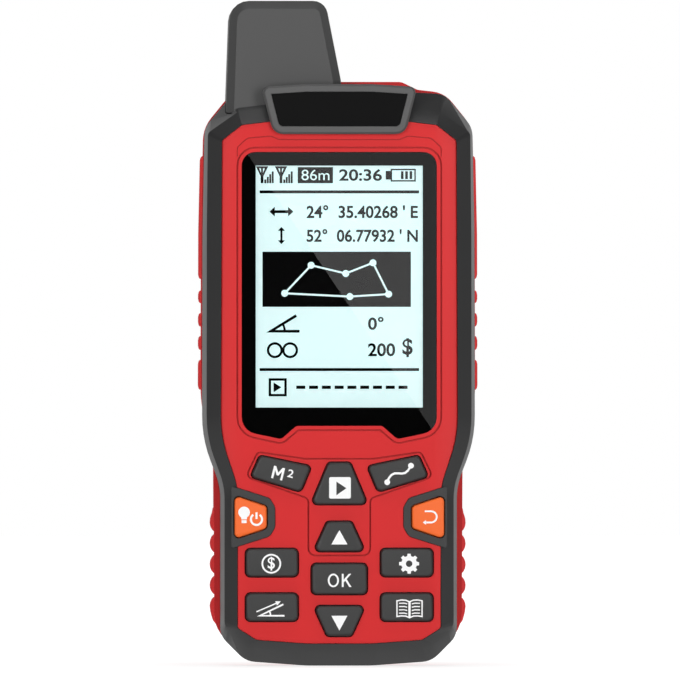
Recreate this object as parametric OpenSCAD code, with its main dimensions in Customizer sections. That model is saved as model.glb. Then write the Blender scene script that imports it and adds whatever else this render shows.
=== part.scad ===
// Handheld land area meter with a stub antenna, upright, screen to the front
// Depth runs along Y with the front at the low end, and Z is up from the foot

/* [Frame] */
// Width over the black frame at the shoulders
frame_w = 66.2; // [60:0.1:72]
// How far each side draws in at the waist
waist_in = 4.4; // [2:0.05:5]
// Height of the frame from its foot to its top edge
frame_h = 139.5; // [126:0.1:152]
// How far the corners of the top edge lie inside the shoulders
top_in = 7.3; // [6.8:0.1:8.6]
// Height of the sloping shoulder
shoulder_h = 8.8; // [7:0.1:12]
// Height at which the sides begin to draw in
waist_top_z = 55; // [54:0.1:60]
// Height at which the sides have drawn in
waist_low_z = 43.7; // [40:0.1:46]
// Height at which the foot corners begin
foot_corner_z = 7.2; // [6:0.1:9]
// How far the foot corners lie inside the waist
foot_in = 6.1; // [5:0.1:7]
// Width of the flat that it stands on
stand_w = 16; // [12:0.5:30]
// Depth of the frame from the panel to its back face
frame_depth = 15.5; // [14.5:0.1:17]
// How far the inner edge of the frame stands over the panel
frame_proud = 0.4; // [0.2:0.05:0.8]
// How far behind the panel the crease of the frame lies
crease_back = 2.6; // [1.5:0.1:4]
// How far behind the panel the side wall of the frame begins
side_back = 8; // [6:0.5:11]
// Width of the black surround of a side key
bracket_w = 2; // [1.4:0.1:2.4]

/* [Panel] */
// Thickness of the red front panel
panel_t = 2.2; // [2:0.1:2.6]
// Thickness of the skirt behind the panel
skirt_t = 1.2; // [1:0.1:1.4]
// Thickness of the flange behind the frame
flange_t = 2; // [1.6:0.1:3]
// Width of the rounded side of the panel, with the frame beside it
round_w = 11.1; // [9:0.05:12]
// Radius of the rounded panel sides
round_r = 34; // [28:1:60]
// Depth of the shallow field around the window
field_depth = 0.12; // [0.08:0.02:0.2]

/* [Window] */
// Distance from the side of the frame to the display window
window_side = 9.5; // [9.2:0.05:10.5]
// Distance from the top of the frame to the display window
window_top_in = 14.9; // [14:0.1:17]
// Distance from the upper keys up to the window between its two ears
window_over_keys = 7.2; // [7:0.1:9]
// How far the ears hang below that edge
ear_drop = 3.2; // [1:0.1:3.6]
// Half distance between the tips of the ears
ear_x = 14.1; // [12:0.1:16]
// Thickness of the window glass
window_t = 1.2; // [0.8:0.1:1.3]
// Thickness of the tape under the window
tape_t = 0.2; // [0.1:0.05:0.25]
// How far the window lies below the panel
window_sunk = 0.12; // [0.05:0.01:0.2]
// Gap between the window and its groove
lip_w = 0.9; // [0.6:0.1:1.2]
// Width of the grooves in the panel
groove_w = 0.45; // [0.3:0.05:0.7]
// Depth of the grooves in the panel
groove_depth = 0.7; // [0.2:0.05:0.8]

/* [Display] */
// Border of the window beside the picture
picture_side = 3.2; // [2.7:0.1:4.5]
// Border of the window over the picture
picture_over = 3.3; // [2.8:0.1:5]
// Border of the window under the picture
picture_under = 4.3; // [3.8:0.1:5]
// Border of the display glass around its picture
display_border = 2.2; // [1.6:0.1:2.5]
// Thickness of the display glass
display_t = 1.2; // [0.8:0.1:1.4]

/* [Keys] */
// How far the keys stand over the panel
key_proud = 1.3; // [0.8:0.1:2]
// Travel of a key
key_travel = 0.7; // [0.5:0.1:0.8]
// Gap round a key in its hole
key_gap = 0.25; // [0.15:0.05:0.3]
// Thickness of the flange that holds a key in
key_flange_t = 0.8; // [0.6:0.1:0.9]
// Width of that flange round the key
key_flange_w = 0.7; // [0.5:0.1:0.8]
// Radius of the stem under a key
key_stem_r = 1.4; // [1.1:0.1:1.5]
// Thickness of the rubber mat
mat_t = 0.6; // [0.4:0.1:0.7]
// Width of the square OK key
ok_w = 13.5; // [12:0.1:14.2]
// Height of the OK key
ok_h = 7.5; // [7:0.1:8]
// Height of the middle of the lowest row of keys
low_row_z = 14.3; // [13.4:0.1:15]
// From the lowest row up to the middle of the OK key
ok_over_row = 6.85; // [6.8:0.05:7.3]
// From the lowest row up to the second row
row_pitch = 10.8; // [10.5:0.1:11.5]
// From the second row up to the orange keys
orange_pitch = 11; // [11:0.05:12]
// From the orange keys up to the upper row
upper_pitch = 11; // [10.6:0.05:11.5]
// Height of the four corner keys
side_key_h = 6.8; // [6.4:0.1:7.2]
// Distance from the OK key to a corner key
key_aisle = 3.25; // [2.6:0.05:3.5]
// Distance from the side of the frame to a corner key
side_key_in = 6; // [5.6:0.1:7]
// Width of the start key at its foot
start_w = 13.9; // [13:0.1:14.5]
// Height of the start key
start_h = 10.2; // [9:0.1:10.5]
// Width of the up and down keys at their wide end
arrow_w = 12.7; // [12:0.1:13.4]
// Width of the up and down keys at their narrow end
arrow_tip_w = 6; // [5.6:0.1:7.4]
// Width of an orange key
orange_w = 7.8; // [7:0.1:8.4]
// Height of an orange key along the frame
orange_h = 10.5; // [9.5:0.1:10.8]

/* [Badge] */
// Width over the badge at the top edge of the body
badge_w = 37.8; // [30:0.1:40]
// How far the badge reaches down from the top of the frame
badge_drop = 10.5; // [9.5:0.1:10.7]
// How far the badge rises over the frame
badge_rise = 1.6; // [1:0.1:2]
// How far the badge stands over the panel
badge_proud = 2; // [1.4:0.1:2.6]
// Width of the rim of the badge
badge_rim = 1.8; // [0.8:0.05:2.1]
// Thickness of the plate in the badge
badge_plate_t = 0.7; // [0.5:0.1:1]

/* [Antenna] */
// Height of the antenna over its seat
antenna_h = 27.4; // [25.5:0.1:45]
// Distance from the side of the frame to the antenna
antenna_side = 5.65; // [4.8:0.05:7]
// Inner side of the antenna from the middle at its foot
antenna_right_x = 0.9; // [0:0.1:1.4]
// How far behind the panel its face stands
antenna_in = 3.9; // [3.4:0.1:5]
// Width of the bevel round its face
antenna_bevel = 1.9; // [1:0.1:3]
// Wall of the antenna cover
antenna_wall = 1.7; // [1.2:0.1:2.2]
// How far it sits below the top edge of the frame
antenna_sunk = 5.5; // [4.9:0.1:5.6]
// Side of the square patch antenna
patch_w = 16; // [12:0.5:18]
// Thickness of the patch antenna
patch_t = 4; // [2:0.5:4]

/* [Rear case] */
// How far the rear case stands out beside the frame
case_over = 0.25; // [0.15:0.05:0.8]
// How far it stands out beside the frame below the waist
case_waist_over = 1.6; // [1:0.1:2.2]
// Width of the hump at the top edge
hump_w = 30.8; // [30.6:0.1:34]
// Height of the hump between the sides
hump_h = 2.35; // [2:0.05:4]
// Wall between the outside and the room inside
case_wall = 2.9; // [2.6:0.1:3.4]
// Thickness of the back wall
back_t = 2; // [1.8:0.1:2.6]
// Width of the rounded edge round the back
back_round = 3.4; // [2:0.1:4]
// How far the grip pads stand out at the sides
pad_proud = 0.65; // [0.4:0.05:1.2]
// Gap between the front and the rear case
parting_gap = 0.15; // [0.1:0.05:0.3]

/* [Battery] */
// Diameter of the battery cell
cell_d = 18.5; // [18:0.1:18.6]
// Length of the battery cell
cell_l = 65.2; // [60:0.1:66]
// Room between the battery room and the main board
board_room = 1.9; // [1.8:0.1:4]
// Room for a contact at each end of the cell
contact_room = 2.4; // [2:0.1:3]
// Height of the lower end of the battery room
bay_z = 21.5; // [21:0.1:22]
// Wall round the battery room
bay_wall = 1.4; // [1:0.1:1.6]
// Width of the battery door
door_w = 28.4; // [27:0.1:32]
// Thickness of the battery door
door_t = 1.9; // [1.6:0.1:2.2]

/* [Fasteners] */
// Radius of a case screw
case_screw_r = 1.25; // [1:0.05:1.5]
// Radius of a case screw head
case_head_r = 2.3; // [2:0.1:2.5]
// Radius of a board screw
board_screw_r = 0.8; // [0.6:0.05:0.9]
// Radius of a door screw
door_screw_r = 1.5; // [1.2:0.1:1.8]
// Radius of a door screw head
door_head_r = 3; // [2.5:0.1:3.4]

/* [Charging] */
// Width of the socket
socket_w = 9; // [8.4:0.1:9.4]
// Depth of the socket
socket_d = 3.3; // [3:0.1:3.5]
// Middle of the socket across
socket_x = 9.2; // [8.8:0.1:10]
// Width of the rubber flap over it
flap_w = 11; // [10:0.1:12]
// Thickness of the rubber flap
flap_t = 1.6; // [1.4:0.1:1.8]

/* [Fits] */
// Clearance between fixed pieces that sit in each other
fit = 0.1; // [0.05:0.01:0.15]
// Clearance between a turning pin and its bore
running_fit = 0.05; // [0.03:0.01:0.08]

/* [Hidden] */
$fn = 48;
SIDES = [-1, 1];
CORNER_STEPS = 5;

// Widths and heights that follow from the frame
waist_w = frame_w - 2 * waist_in;
top_w = frame_w - 2 * top_in;
foot_w = waist_w - 2 * foot_in;
case_w = frame_w + 2 * case_over;
case_waist_w = waist_w + 2 * case_waist_over;
window_w = frame_w - 2 * window_side;
window_top_z = frame_h - window_top_in;
picture_w = window_w - 2 * picture_side;
round_from = frame_w / 2 - round_w;

// Heights of the rows of keys, from the foot up
high_row_z = low_row_z + row_pitch;
ok_z = low_row_z + ok_over_row;
orange_z = high_row_z + orange_pitch;
upper_z = orange_z + upper_pitch;
upper_top_z = upper_z + 4;
window_low_z = upper_top_z + window_over_keys;

RED = [0.80, 0.13, 0.13];
BLACK = [0.16, 0.16, 0.17];
KEY_GREY = [0.25, 0.25, 0.25];
ORANGE = [0.98, 0.47, 0.20];
STEEL = [0.72, 0.73, 0.75];
BOARD = [0.10, 0.36, 0.20];
FILM = [0.85, 0.55, 0.20];

// Room round the flanges and the mat, and round the cell
flex_room = 0.3;
switch_room = 1.1;
cell_room = 0.3;
cell_back_room = 0.5;
pad_t = 0.1;
board_t = 1.6;

// Depth of the body: the badge, the keys and the board, then the cell and its door
body_d = badge_proud + panel_t + fit + key_flange_t + key_travel + flex_room + mat_t + switch_room
    + board_t + board_room + bay_wall + cell_room + cell_d + cell_back_room + fit + door_t;

// Depths of the main planes, from the front to the back
front_y = -body_d / 2;
panel_y = front_y + badge_proud;
panel_in_y = panel_y + panel_t;
frame_back_y = panel_y + frame_depth;
flange_back_y = frame_back_y + flange_t;
case_front_y = flange_back_y + parting_gap;
back_y = body_d / 2;
back_in_y = back_y - back_t;

// Depths of the stack under a key
key_top_y = panel_y - key_proud;
flange_y = panel_in_y + fit;
flange_end_y = flange_y + key_flange_t;
mat_y = flange_end_y + key_travel + flex_room;
mat_end_y = mat_y + mat_t;
board_y = mat_end_y + switch_room;
board_back_y = board_y + board_t;
stem_end_y = board_y - pad_t - key_travel - 0.15;
key_room_y = panel_in_y + 0.5;
cap_end_y = key_room_y - key_travel - 0.2;

function unit(v) = v / norm(v);
function flat(p) = [p[0], p[1]];

// Both halves of an outline that is given from the foot up its right side
function whole(half) =
    concat(half, [for (i = [len(half) - 1:-1:0]) [-half[i][0], half[i][1], half[i][2]]]);

// The other hand of an outline
function mirrored(corners) =
    [for (i = [len(corners) - 1:-1:0]) [-corners[i][0], corners[i][1], corners[i][2]]];

// Moves every side of an outline inwards by d, or outwards where d is negative
function inset(corners, d) =
    let (n = len(corners))
    [for (i = [0:n - 1])
        let (p = flat(corners[i]),
             u = unit(p - flat(corners[(i + n - 1) % n])),
             v = unit(flat(corners[(i + 1) % n]) - p),
             nu = [-u[1], u[0]],
             nv = [-v[1], v[0]],
             bend = u[0] * v[1] - u[1] * v[0],
             q = p + d * (nu + nv) / (1 + nu * nv),
             r = bend > 0 ? corners[i][2] - d : corners[i][2] + d)
        [q[0], q[1], max(r, 0.15)]];

// The points of one rounded corner at p, between its neighbours a and b
function corner_arc(a, p, b, r) =
    let (u = unit(a - p),
         v = unit(b - p),
         half = acos(max(-1, min(1, u * v))) / 2,
         reach = min(r / tan(half), 0.47 * min(norm(a - p), norm(b - p))),
         arc_r = reach * tan(half),
         middle = p + unit(u + v) * arc_r / sin(half),
         from = p + u * reach - middle,
         to = p + v * reach - middle,
         start = atan2(from[1], from[0]),
         turn = (atan2(to[1], to[0]) - start + 540) % 360 - 180)
    [for (k = [0:CORNER_STEPS])
        middle + arc_r * [cos(start + turn * k / CORNER_STEPS), sin(start + turn * k / CORNER_STEPS)]];

// A closed outline with its corners rounded
function rounded(corners) =
    let (n = len(corners))
    [for (i = [0:n - 1])
        each corner_arc(flat(corners[(i + n - 1) % n]), flat(corners[i]), flat(corners[(i + 1) % n]),
                        corners[i][2])];

function box_corners(x0, z0, x1, z1, r) = [[x0, z0, r], [x1, z0, r], [x1, z1, r], [x0, z1, r]];

// A ring of points in space, at one depth
function ring(points, y) = [for (p = points) [p[0], y, p[1]]];

// Triangles of the walls between rings that follow each other
function walls(n, first, last, total) =
    [for (k = [first:last]) for (i = [0:n - 1])
        let (a = k * n + i,
             b = k * n + (i + 1) % n,
             c = ((k + 1) % total) * n + (i + 1) % n,
             d = ((k + 1) % total) * n + i)
        each [[a, b, c], [a, c, d]]];

// A closed band, whose section is the row of rings
module loft_band(rings) {
    n = len(rings[0]);
    polyhedron(points = [for (r = rings) each r], faces = walls(n, 0, len(rings) - 1, len(rings)));
}

// A solid between rings whose two sides mirror each other
module loft_solid(rings) {
    n = len(rings[0]);
    m = len(rings);
    last = (m - 1) * n;
    front_cap = [for (i = [0:n / 2 - 2]) each [[n - 1 - i, n - 2 - i, i + 1], [n - 1 - i, i + 1, i]]];
    back_cap = [for (i = [0:n / 2 - 2])
        each [[last + i, last + i + 1, last + n - 2 - i], [last + i, last + n - 2 - i, last + n - 1 - i]]];
    polyhedron(points = [for (r = rings) each r],
               faces = concat(walls(n, 0, m - 2, m), front_cap, back_cap));
}

// A solid between rings of a convex outline
module loft_convex(rings) {
    n = len(rings[0]);
    m = len(rings);
    polyhedron(points = [for (r = rings) each r],
               faces = concat(walls(n, 0, m - 2, m), [[for (i = [n - 1:-1:0]) i]],
                              [[for (i = [0:n - 1]) (m - 1) * n + i]]));
}

// An upright outline, extruded from depth y0 back to y1
module prism(points, y0, y1) {
    translate([0, y1, 0]) rotate([90, 0, 0]) linear_extrude(height = y1 - y0) polygon(points);
}

// An upright rounded box
module slab(x0, z0, x1, z1, r, y0, y1) {
    prism(rounded(box_corners(x0, z0, x1, z1, r)), y0, y1);
}

// A plain box between two corners
module block(low, high) {
    translate(low) cube(high - low);
}

// A round bar along the depth at x and z
module rod(at, r, y0, y1) {
    translate([at[0], y1, at[1]]) rotate([90, 0, 0]) cylinder(h = y1 - y0, r = r);
}

// A ring shaped groove or seal that follows an outline
module band(corners, from, to, y0, y1) {
    difference() {
        prism(rounded(inset(corners, from)), y0, y1);
        prism(rounded(inset(corners, to)), y0 - 1, y1 + 1);
    }
}

// A round tube along a path, with its ends square to it
module tube(path, r, sides = 8) {
    n = len(path);
    dirs = [for (i = [0:n - 1]) unit(path[min(i + 1, n - 1)] - path[max(i - 1, 0)])];
    rings = [for (i = [0:n - 1])
        let (across = [1, 0, 0], up = unit(cross(dirs[i], across)))
        [for (k = [0:sides - 1])
            path[i] + r * (cos(360 * k / sides) * across + sin(360 * k / sides) * up)]];
    polyhedron(points = [for (g = rings) each g],
               faces = concat(
                   [for (i = [0:n - 2]) for (k = [0:sides - 1])
                       let (a = i * sides + k, b = i * sides + (k + 1) % sides)
                       each [[b, a, a + sides], [b, a + sides, b + sides]]],
                   [[for (k = [0:sides - 1]) k]],
                   [[for (k = [sides - 1:-1:0]) (n - 1) * sides + k]]));
}

// Outline of the frame from the foot up: half width, height and corner radius
shoulder_z = frame_h - shoulder_h;
bulge_z = (waist_top_z + shoulder_z) / 2 + 12;
outer_half = [
    [stand_w / 2, 0, 40],
    [foot_w / 2, 1.05, 6],
    [waist_w / 2, foot_corner_z, 5],
    [waist_w / 2, waist_low_z, 17],
    [frame_w / 2, waist_top_z, 33],
    [frame_w / 2 - 0.1, bulge_z, 250],
    [frame_w / 2 - 0.6, shoulder_z, 6],
    [top_w / 2 - 0.1, frame_h - 0.7, 4.5],
    [12, frame_h, 12],
];
// How far the crease lies inside each corner, across and up, with its radius
crease_in = [[0, 3.1, 40], [0.7, 3.15, 5], [0.9, 2.2, 3.5], [0.9, -0.1, 17], [0.95, 0.5, 30],
             [0.9, 0, 250], [0.65, -1.4, 1.5], [1.15, -4.4, 1], [0, -3.6, 12]];
// How far the inner edge lies inside each corner, across and up, with its radius
inner_in = [[0, 5.4, 40], [2.5, 5.25, 2.5], [4, 2, 1], [4, -0.1, 17], [4.3, 0.7, 30],
            [4.4, 0, 250], [4, -3.2, 1], [2.1, -7.55, 0.8], [0, -6.85, 12]];

function stepped_in(half, steps) =
    [for (i = [0:len(half) - 1]) [half[i][0] - steps[i][0], half[i][1] + steps[i][1], steps[i][2]]];

outer_edge = whole(outer_half);
crease_edge = whole(stepped_in(outer_half, crease_in));
inner_edge = whole(stepped_in(outer_half, inner_in));
skirt_edge = inset(inner_edge, fit);
room_edge = inset(skirt_edge, skirt_t);

// Outline of the rear case and of the flange that it closes on
hump_z = frame_h + hump_h;
case_half = [
    [stand_w / 2, 0, 40],
    [foot_w / 2 + 1.2, 2.6, 6],
    [case_waist_w / 2 - 0.2, foot_corner_z + 1.8, 9],
    [case_waist_w / 2, waist_low_z + 6.8, 30],
    [case_w / 2, waist_top_z + 9, 36],
    [case_w / 2 - 0.1, bulge_z, 250],
    [frame_w / 2 - 0.4, shoulder_z + 0.1, 9],
    [top_w / 2 + 0.1, frame_h - 0.3, 7],
    [hump_w / 2 + 3.9, frame_h + 0.45, 2],
    [hump_w / 2, hump_z, 3],
];
case_edge = whole(case_half);
// The sealed part of it ends below the antenna
shoulder_top = case_half[7];
shoulder_low = case_half[6];
antenna_seat_z = frame_h - antenna_sunk;
seal_top_z = antenna_seat_z + 0.5;
seal_top_x = shoulder_low[0] - (seal_top_z - shoulder_low[1])
    * (shoulder_low[0] - shoulder_top[0]) / (shoulder_top[1] - shoulder_low[1]);
seal_edge = whole(concat([for (i = [0:6]) case_half[i]], [[seal_top_x, seal_top_z, 1.5]]));
case_room_edge = inset(seal_edge, case_wall);
seal_from = 1.1;
seal_w = 0.8;
seal_h = 0.5;

// Window and the outlines round it
window_half = [
    [ear_x - ear_drop * 1.15, window_low_z, 1.5],
    [ear_x, window_low_z - ear_drop, 1.4],
    [window_w / 2, window_low_z - ear_drop + 0.21 * (window_w / 2 - ear_x), 4],
    [window_w / 2, window_top_z, 3.2],
];
window_edge = whole(window_half);
window_gap = 0.08;
window_y = panel_y + window_sunk;
window_back_y = window_y + window_t;
window_floor_y = window_back_y + tape_t;
picture_z = window_low_z + picture_under;
picture_top_z = window_top_z - picture_over;
opening_x = picture_w / 2 + 1;
opening_low_z = picture_z - 1;
opening_high_z = picture_top_z + 1;
lip_half = [for (i = [0:2]) inset(window_edge, -lip_w - groove_w)[i]];
field_half = concat(lip_half, [
    [window_w / 2 + 1.1, window_top_z + 1.2, 1],
    [window_w / 2 - 1.3, window_top_z + 3.4, 2],
    [window_w / 2 - 7, window_top_z + 3.9, 1.5],
    [window_w / 2 - 9, window_top_z + 3.05, 1.5],
]);

// Places of the display stack
display_y = panel_in_y + 0.2;
display_back_y = display_y + display_t;
display_x = picture_w / 2 + display_border;
display_low_z = picture_z - display_border - 1.6;
display_high_z = picture_top_z + display_border;

// Outlines of the keys, each on the left or in the middle
orange_out_x = waist_w / 2 - 3.3;
orange_in_x = orange_out_x - orange_w;
area_out_x = waist_w / 2 - 7.1;
area_in_x = start_w / 2 + 2.4;
area_key = [
    [-area_out_x, upper_z - 1.2, 1],
    [-area_in_x, upper_z - 4.9, 1.2],
    [-area_in_x + 2.65, upper_z + 1.4, 1],
    [-area_out_x + 2.3, upper_top_z, 1],
];
start_top_z = upper_z + 2.3;
start_key = [
    [-start_w / 2, start_top_z - start_h, 1.1],
    [start_w / 2, start_top_z - start_h, 1.1],
    [2.7, start_top_z, 1.1],
    [-2.7, start_top_z, 1.1],
];
up_key = [
    [-arrow_w / 2, ok_z + 6.65, 1.1],
    [arrow_w / 2, ok_z + 6.65, 1.1],
    [arrow_tip_w / 2, ok_z + 13.95, 1.1],
    [-arrow_tip_w / 2, ok_z + 13.95, 1.1],
];
down_key = [
    [-arrow_tip_w / 2, ok_z - 13.9, 1.1],
    [arrow_tip_w / 2, ok_z - 13.9, 1.1],
    [arrow_w / 2, ok_z - 6.5, 1.1],
    [-arrow_w / 2, ok_z - 6.5, 1.1],
];
power_key = [
    [-orange_out_x, orange_z - orange_h / 2, 1],
    [-orange_in_x, orange_z - orange_h / 4, 1],
    [-orange_in_x, orange_z + orange_h / 4, 1],
    [-orange_out_x, orange_z + orange_h / 2, 1],
];
ok_key = box_corners(-ok_w / 2, ok_z - ok_h / 2, ok_w / 2, ok_z + ok_h / 2, 1.2);
side_key_in_x = ok_w / 2 + key_aisle;
side_key_out_x = waist_w / 2 - side_key_in;
side_key_x = (side_key_in_x + side_key_out_x) / 2;
function side_key(z) =
    box_corners(-side_key_out_x, z - side_key_h / 2, -side_key_in_x, z + side_key_h / 2, 1.2);

// Name, outline, stem and colour of every key
area_stem_x = (area_out_x + area_in_x) / 2 - 1.1;
KEYS = [
    ["key_area", area_key, [-area_stem_x, upper_z], KEY_GREY],
    ["key_start", start_key, [0, start_top_z - 5.4], KEY_GREY],
    ["key_distance", mirrored(area_key), [area_stem_x, upper_z], KEY_GREY],
    ["key_power", power_key, [-orange_in_x - 1.7, orange_z], ORANGE],
    ["key_back", mirrored(power_key), [orange_in_x + 1.7, orange_z], ORANGE],
    ["key_up", up_key, [0, ok_z + 9.85], KEY_GREY],
    ["key_ok", ok_key, [0, ok_z], KEY_GREY],
    ["key_down", down_key, [0, ok_z - 9.85], KEY_GREY],
    ["key_price", side_key(high_row_z), [-side_key_x, high_row_z], KEY_GREY],
    ["key_settings", mirrored(side_key(high_row_z)), [side_key_x, high_row_z], KEY_GREY],
    ["key_slope", side_key(low_row_z), [-side_key_x, low_row_z], KEY_GREY],
    ["key_records", mirrored(side_key(low_row_z)), [side_key_x, low_row_z], KEY_GREY],
];
// Line of the groove round the upper keys
island_half = [
    [arrow_w / 2 + 1.15, ok_z + 5.65, 1.8],
    [arrow_w / 2 + 1.15, upper_z - 6.5, 1.3],
    [area_out_x + 1.1, upper_z - 1.2, 1.4],
    [area_out_x - 1.8, upper_top_z + 0.8, 1.2],
    [area_in_x - 1.05, upper_z + 3.15, 3],
];
// Black surround of a side key, from the frame inwards
bracket_left = [
    [-orange_out_x - 0.7, orange_z - orange_h / 2 - bracket_w - 0.3, 0.5],
    [-orange_in_x + 0.7, orange_z - orange_h / 4 - bracket_w, 1.8],
    [-orange_in_x + bracket_w, orange_z - orange_h / 4 + 0.2, 1.8],
    [-orange_in_x + bracket_w, orange_z + orange_h / 4 - 0.2, 1.8],
    [-orange_in_x + 0.7, orange_z + orange_h / 4 + bracket_w, 1.8],
    [-orange_out_x - 0.7, orange_z + orange_h / 2 + bracket_w + 0.3, 0.5],
];
bracket_t = 1.4;

// Half width of the frame at height z of its sides
function side_at(z) = z > waist_top_z ? frame_w / 2
    : z < waist_low_z ? waist_w / 2
    : waist_w / 2 + waist_in * (z - waist_low_z) / (waist_top_z - waist_low_z);

// Screws that close the case, from the top down
top_screw_z = frame_h - 12.1;
top_screw_x = frame_w / 2 - 10.6;
mid_screw_z = window_low_z - 4.5;
mid_screw_x = side_at(mid_screw_z) - 9.8;
foot_screw_z = low_row_z - 4.3;
foot_screw_x = waist_w / 2 - 8.4;
CASE_SCREWS = [
    for (at = [[top_screw_x, top_screw_z], [mid_screw_x, mid_screw_z], [foot_screw_x, foot_screw_z]])
        for (side = SIDES) [side * at[0], at[1]]
];
boss_r = 2.5;
rear_boss_r = 3.5;
case_head_y = back_y - 9.8;
case_head_t = 1.6;
case_screw_l = 11.5;
case_screw_tip_y = case_head_y - case_screw_l;

// Screws that hold the board, beside the display and beside the lowest key
board_post_r = 1.6;
board_screw_x = display_x + 2.5;
board_foot_x = arrow_tip_w / 2 + 4.3;
BOARD_SCREWS = [
    for (at = [[board_screw_x, display_high_z - 6.8], [board_screw_x, display_low_z + 6.3],
               [board_foot_x, foot_screw_z]])
        for (side = SIDES) [side * at[0], at[1]]
];
board_top_z = top_screw_z - boss_r - 0.3;
board_screw_tip_y = board_y - 2;

// Parts on the back of the board
cpu_w = 12;
cpu_z = display_low_z + 7.3;
SOUNDER = [board_screw_x - 7.6, display_high_z - 5.8];
lead_plug_r = 1.4;
charge_plug_w = 8;
charge_plug_z = top_screw_z - 17.4;

// Badge that bridges the top of the frame
badge_top_z = frame_h + badge_rise;
badge_low_z = frame_h - badge_drop;
badge_half = [
    [badge_w / 2 - 2.9, badge_low_z, 3],
    [badge_w / 2, badge_top_z - 0.7, 1.5],
    [8, badge_top_z, 20],
];
badge_edge = whole(badge_half);
plate_sunk = 0.3;

// Antenna outline from its foot, and its two depths
antenna_y = panel_y + antenna_in;
antenna_back_y = back_y - 1.3;
antenna_top_z = antenna_seat_z + antenna_h;
antenna_left_x = frame_w / 2 - antenna_side;
antenna_edge = [
    [-antenna_left_x, antenna_seat_z, 0.5],
    [antenna_right_x, antenna_seat_z, 0.5],
    [antenna_right_x - 0.4, antenna_seat_z + 8.1, 6],
    [antenna_right_x - 4.2, antenna_top_z, 3.6],
    [-antenna_left_x + 1, antenna_top_z, 4.8],
];
plug_h = 5;
antenna_mid_x = (antenna_right_x - antenna_left_x) / 2 - 1.2;
antenna_mid_y = (frame_back_y + fit + antenna_back_y) / 2;
antenna_board_t = 1;
antenna_board_w = patch_w + 2;
antenna_board_z = antenna_seat_z + plug_h - 1.5;
antenna_screw_x = antenna_mid_x + top_screw_x - 4;
antenna_screw_r = 1;
ANTENNA_SCREWS = [for (side = SIDES) [antenna_mid_x + side * antenna_screw_x, antenna_mid_y]];
lead_r = 0.7;
lead_y = antenna_mid_y + 1.8;
// Route of the antenna lead, from the antenna board down to the main board
lead_path = [
    [antenna_mid_x, lead_y, antenna_seat_z + plug_h + 1.5],
    [antenna_mid_x, lead_y, antenna_seat_z + plug_h - 1],
    [antenna_mid_x, lead_y, antenna_seat_z - 2],
    [antenna_mid_x, lead_y - 0.5, antenna_seat_z - 5],
    [antenna_mid_x, lead_y - 2.3, antenna_seat_z - 8],
    [antenna_mid_x, lead_y - 5.2, antenna_seat_z - 10.5],
    [antenna_mid_x, lead_y - 8.4, antenna_seat_z - 12.4],
    [antenna_mid_x, lead_y - 11, antenna_seat_z - 15],
    [antenna_mid_x, lead_y - 12.6, antenna_seat_z - 18],
    [antenna_mid_x, board_back_y + 0.9, antenna_seat_z - 21],
    [antenna_mid_x, board_back_y + 0.8, antenna_seat_z - 23],
];
lead_end = lead_path[len(lead_path) - 1];

// Battery room in the rear case
bay_l = cell_l + 2 * contact_room;
bay_x = cell_d / 2 + 0.4;
door_y = back_y - door_t;
ledge_y = door_y - fit;
ledge_t = 2;
ledge_rim = 1.6;
door_gap = 0.15;
door_corner_r = 3;
cell_y = ledge_y - cell_d / 2 - cell_back_room;
bay_y = cell_y - cell_d / 2 - cell_room;
door_margin = 8;
door_low_z = bay_z - door_margin;
door_high_z = bay_z + bay_l + door_margin;
DOOR_SCREWS = [[0, door_low_z + door_margin / 2], [0, door_high_z - door_margin / 2]];
door_head_t = 1.2;
door_screw_tip_y = ledge_y - 6;
door_seal_w = 0.8;
door_seal_t = 0.5;
bay_edge = box_corners(-bay_x, bay_z, bay_x, bay_z + bay_l, 0.5);

// Charging socket, flap and hinge
socket_y = case_front_y + 1.6;
socket_high_z = hump_z - flap_t - 0.4;
socket_low_z = socket_high_z - 6.4;
charge_board_t = 1;
charge_board_y = socket_y + socket_d;
flap_low_z = hump_z - flap_t;
hinge_z = hump_z - flap_t / 2;
hinge_y = back_y - 4.6;
flap_y = case_front_y + 0.9;
pin_r = 0.45;
pin_in = 1;

// Strap lug under the back
lug_x = 4.1;
lug_y0 = back_y - 7.4;
lug_y1 = back_y - 2;
lug_z0 = 0.3;
lug_z1 = 6.2;
strap_r = 1.75;
scoop_h = 4.6;

module key_hole(corners, gap, y0, y1) {
    prism(rounded(inset(corners, -gap)), y0, y1);
}

module antenna_space(gap) {
    prism(rounded(inset(antenna_edge, -gap)), antenna_y - gap, antenna_back_y + gap);
}

// Front half of the red case: panel, skirt inside the frame, and flange behind it
module front_case() {
    color(RED) difference() {
        union() {
            difference() {
                union() {
                    prism(rounded(skirt_edge), panel_y, frame_back_y);
                    prism(rounded(case_edge), frame_back_y, flange_back_y);
                }
                prism(rounded(room_edge), panel_in_y, flange_back_y + 1);
            }
            for (at = CASE_SCREWS) {
                start_y = at[1] == foot_screw_z ? board_back_y + 0.4 : panel_in_y - 0.1;
                rod(at, boss_r, start_y, flange_back_y);
            }
            for (at = BOARD_SCREWS) rod(at, board_post_r, panel_in_y - 0.1, board_y);
            for (side = SIDES) foot_gusset(side);
        }
        panel_rounding();
        window_cuts();
        for (key = KEYS) key_hole(key[1], key_gap, panel_y - 2, key_room_y);
        island_groove();
        for (outline = [bracket_left, mirrored(bracket_left)])
            prism(rounded(inset(outline, -fit)), panel_y - 1, panel_y + bracket_t + fit);
        band(seal_edge, seal_from - fit, seal_from + seal_w + fit,
             flange_back_y - seal_h, flange_back_y + 1);
        for (at = CASE_SCREWS)
            rod(at, case_screw_r + running_fit, case_screw_tip_y - 0.5, flange_back_y + 1);
        for (at = BOARD_SCREWS)
            rod(at, board_screw_r + running_fit, board_screw_tip_y - 0.2, board_y + 1);
        antenna_space(fit);
    }
}

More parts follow.
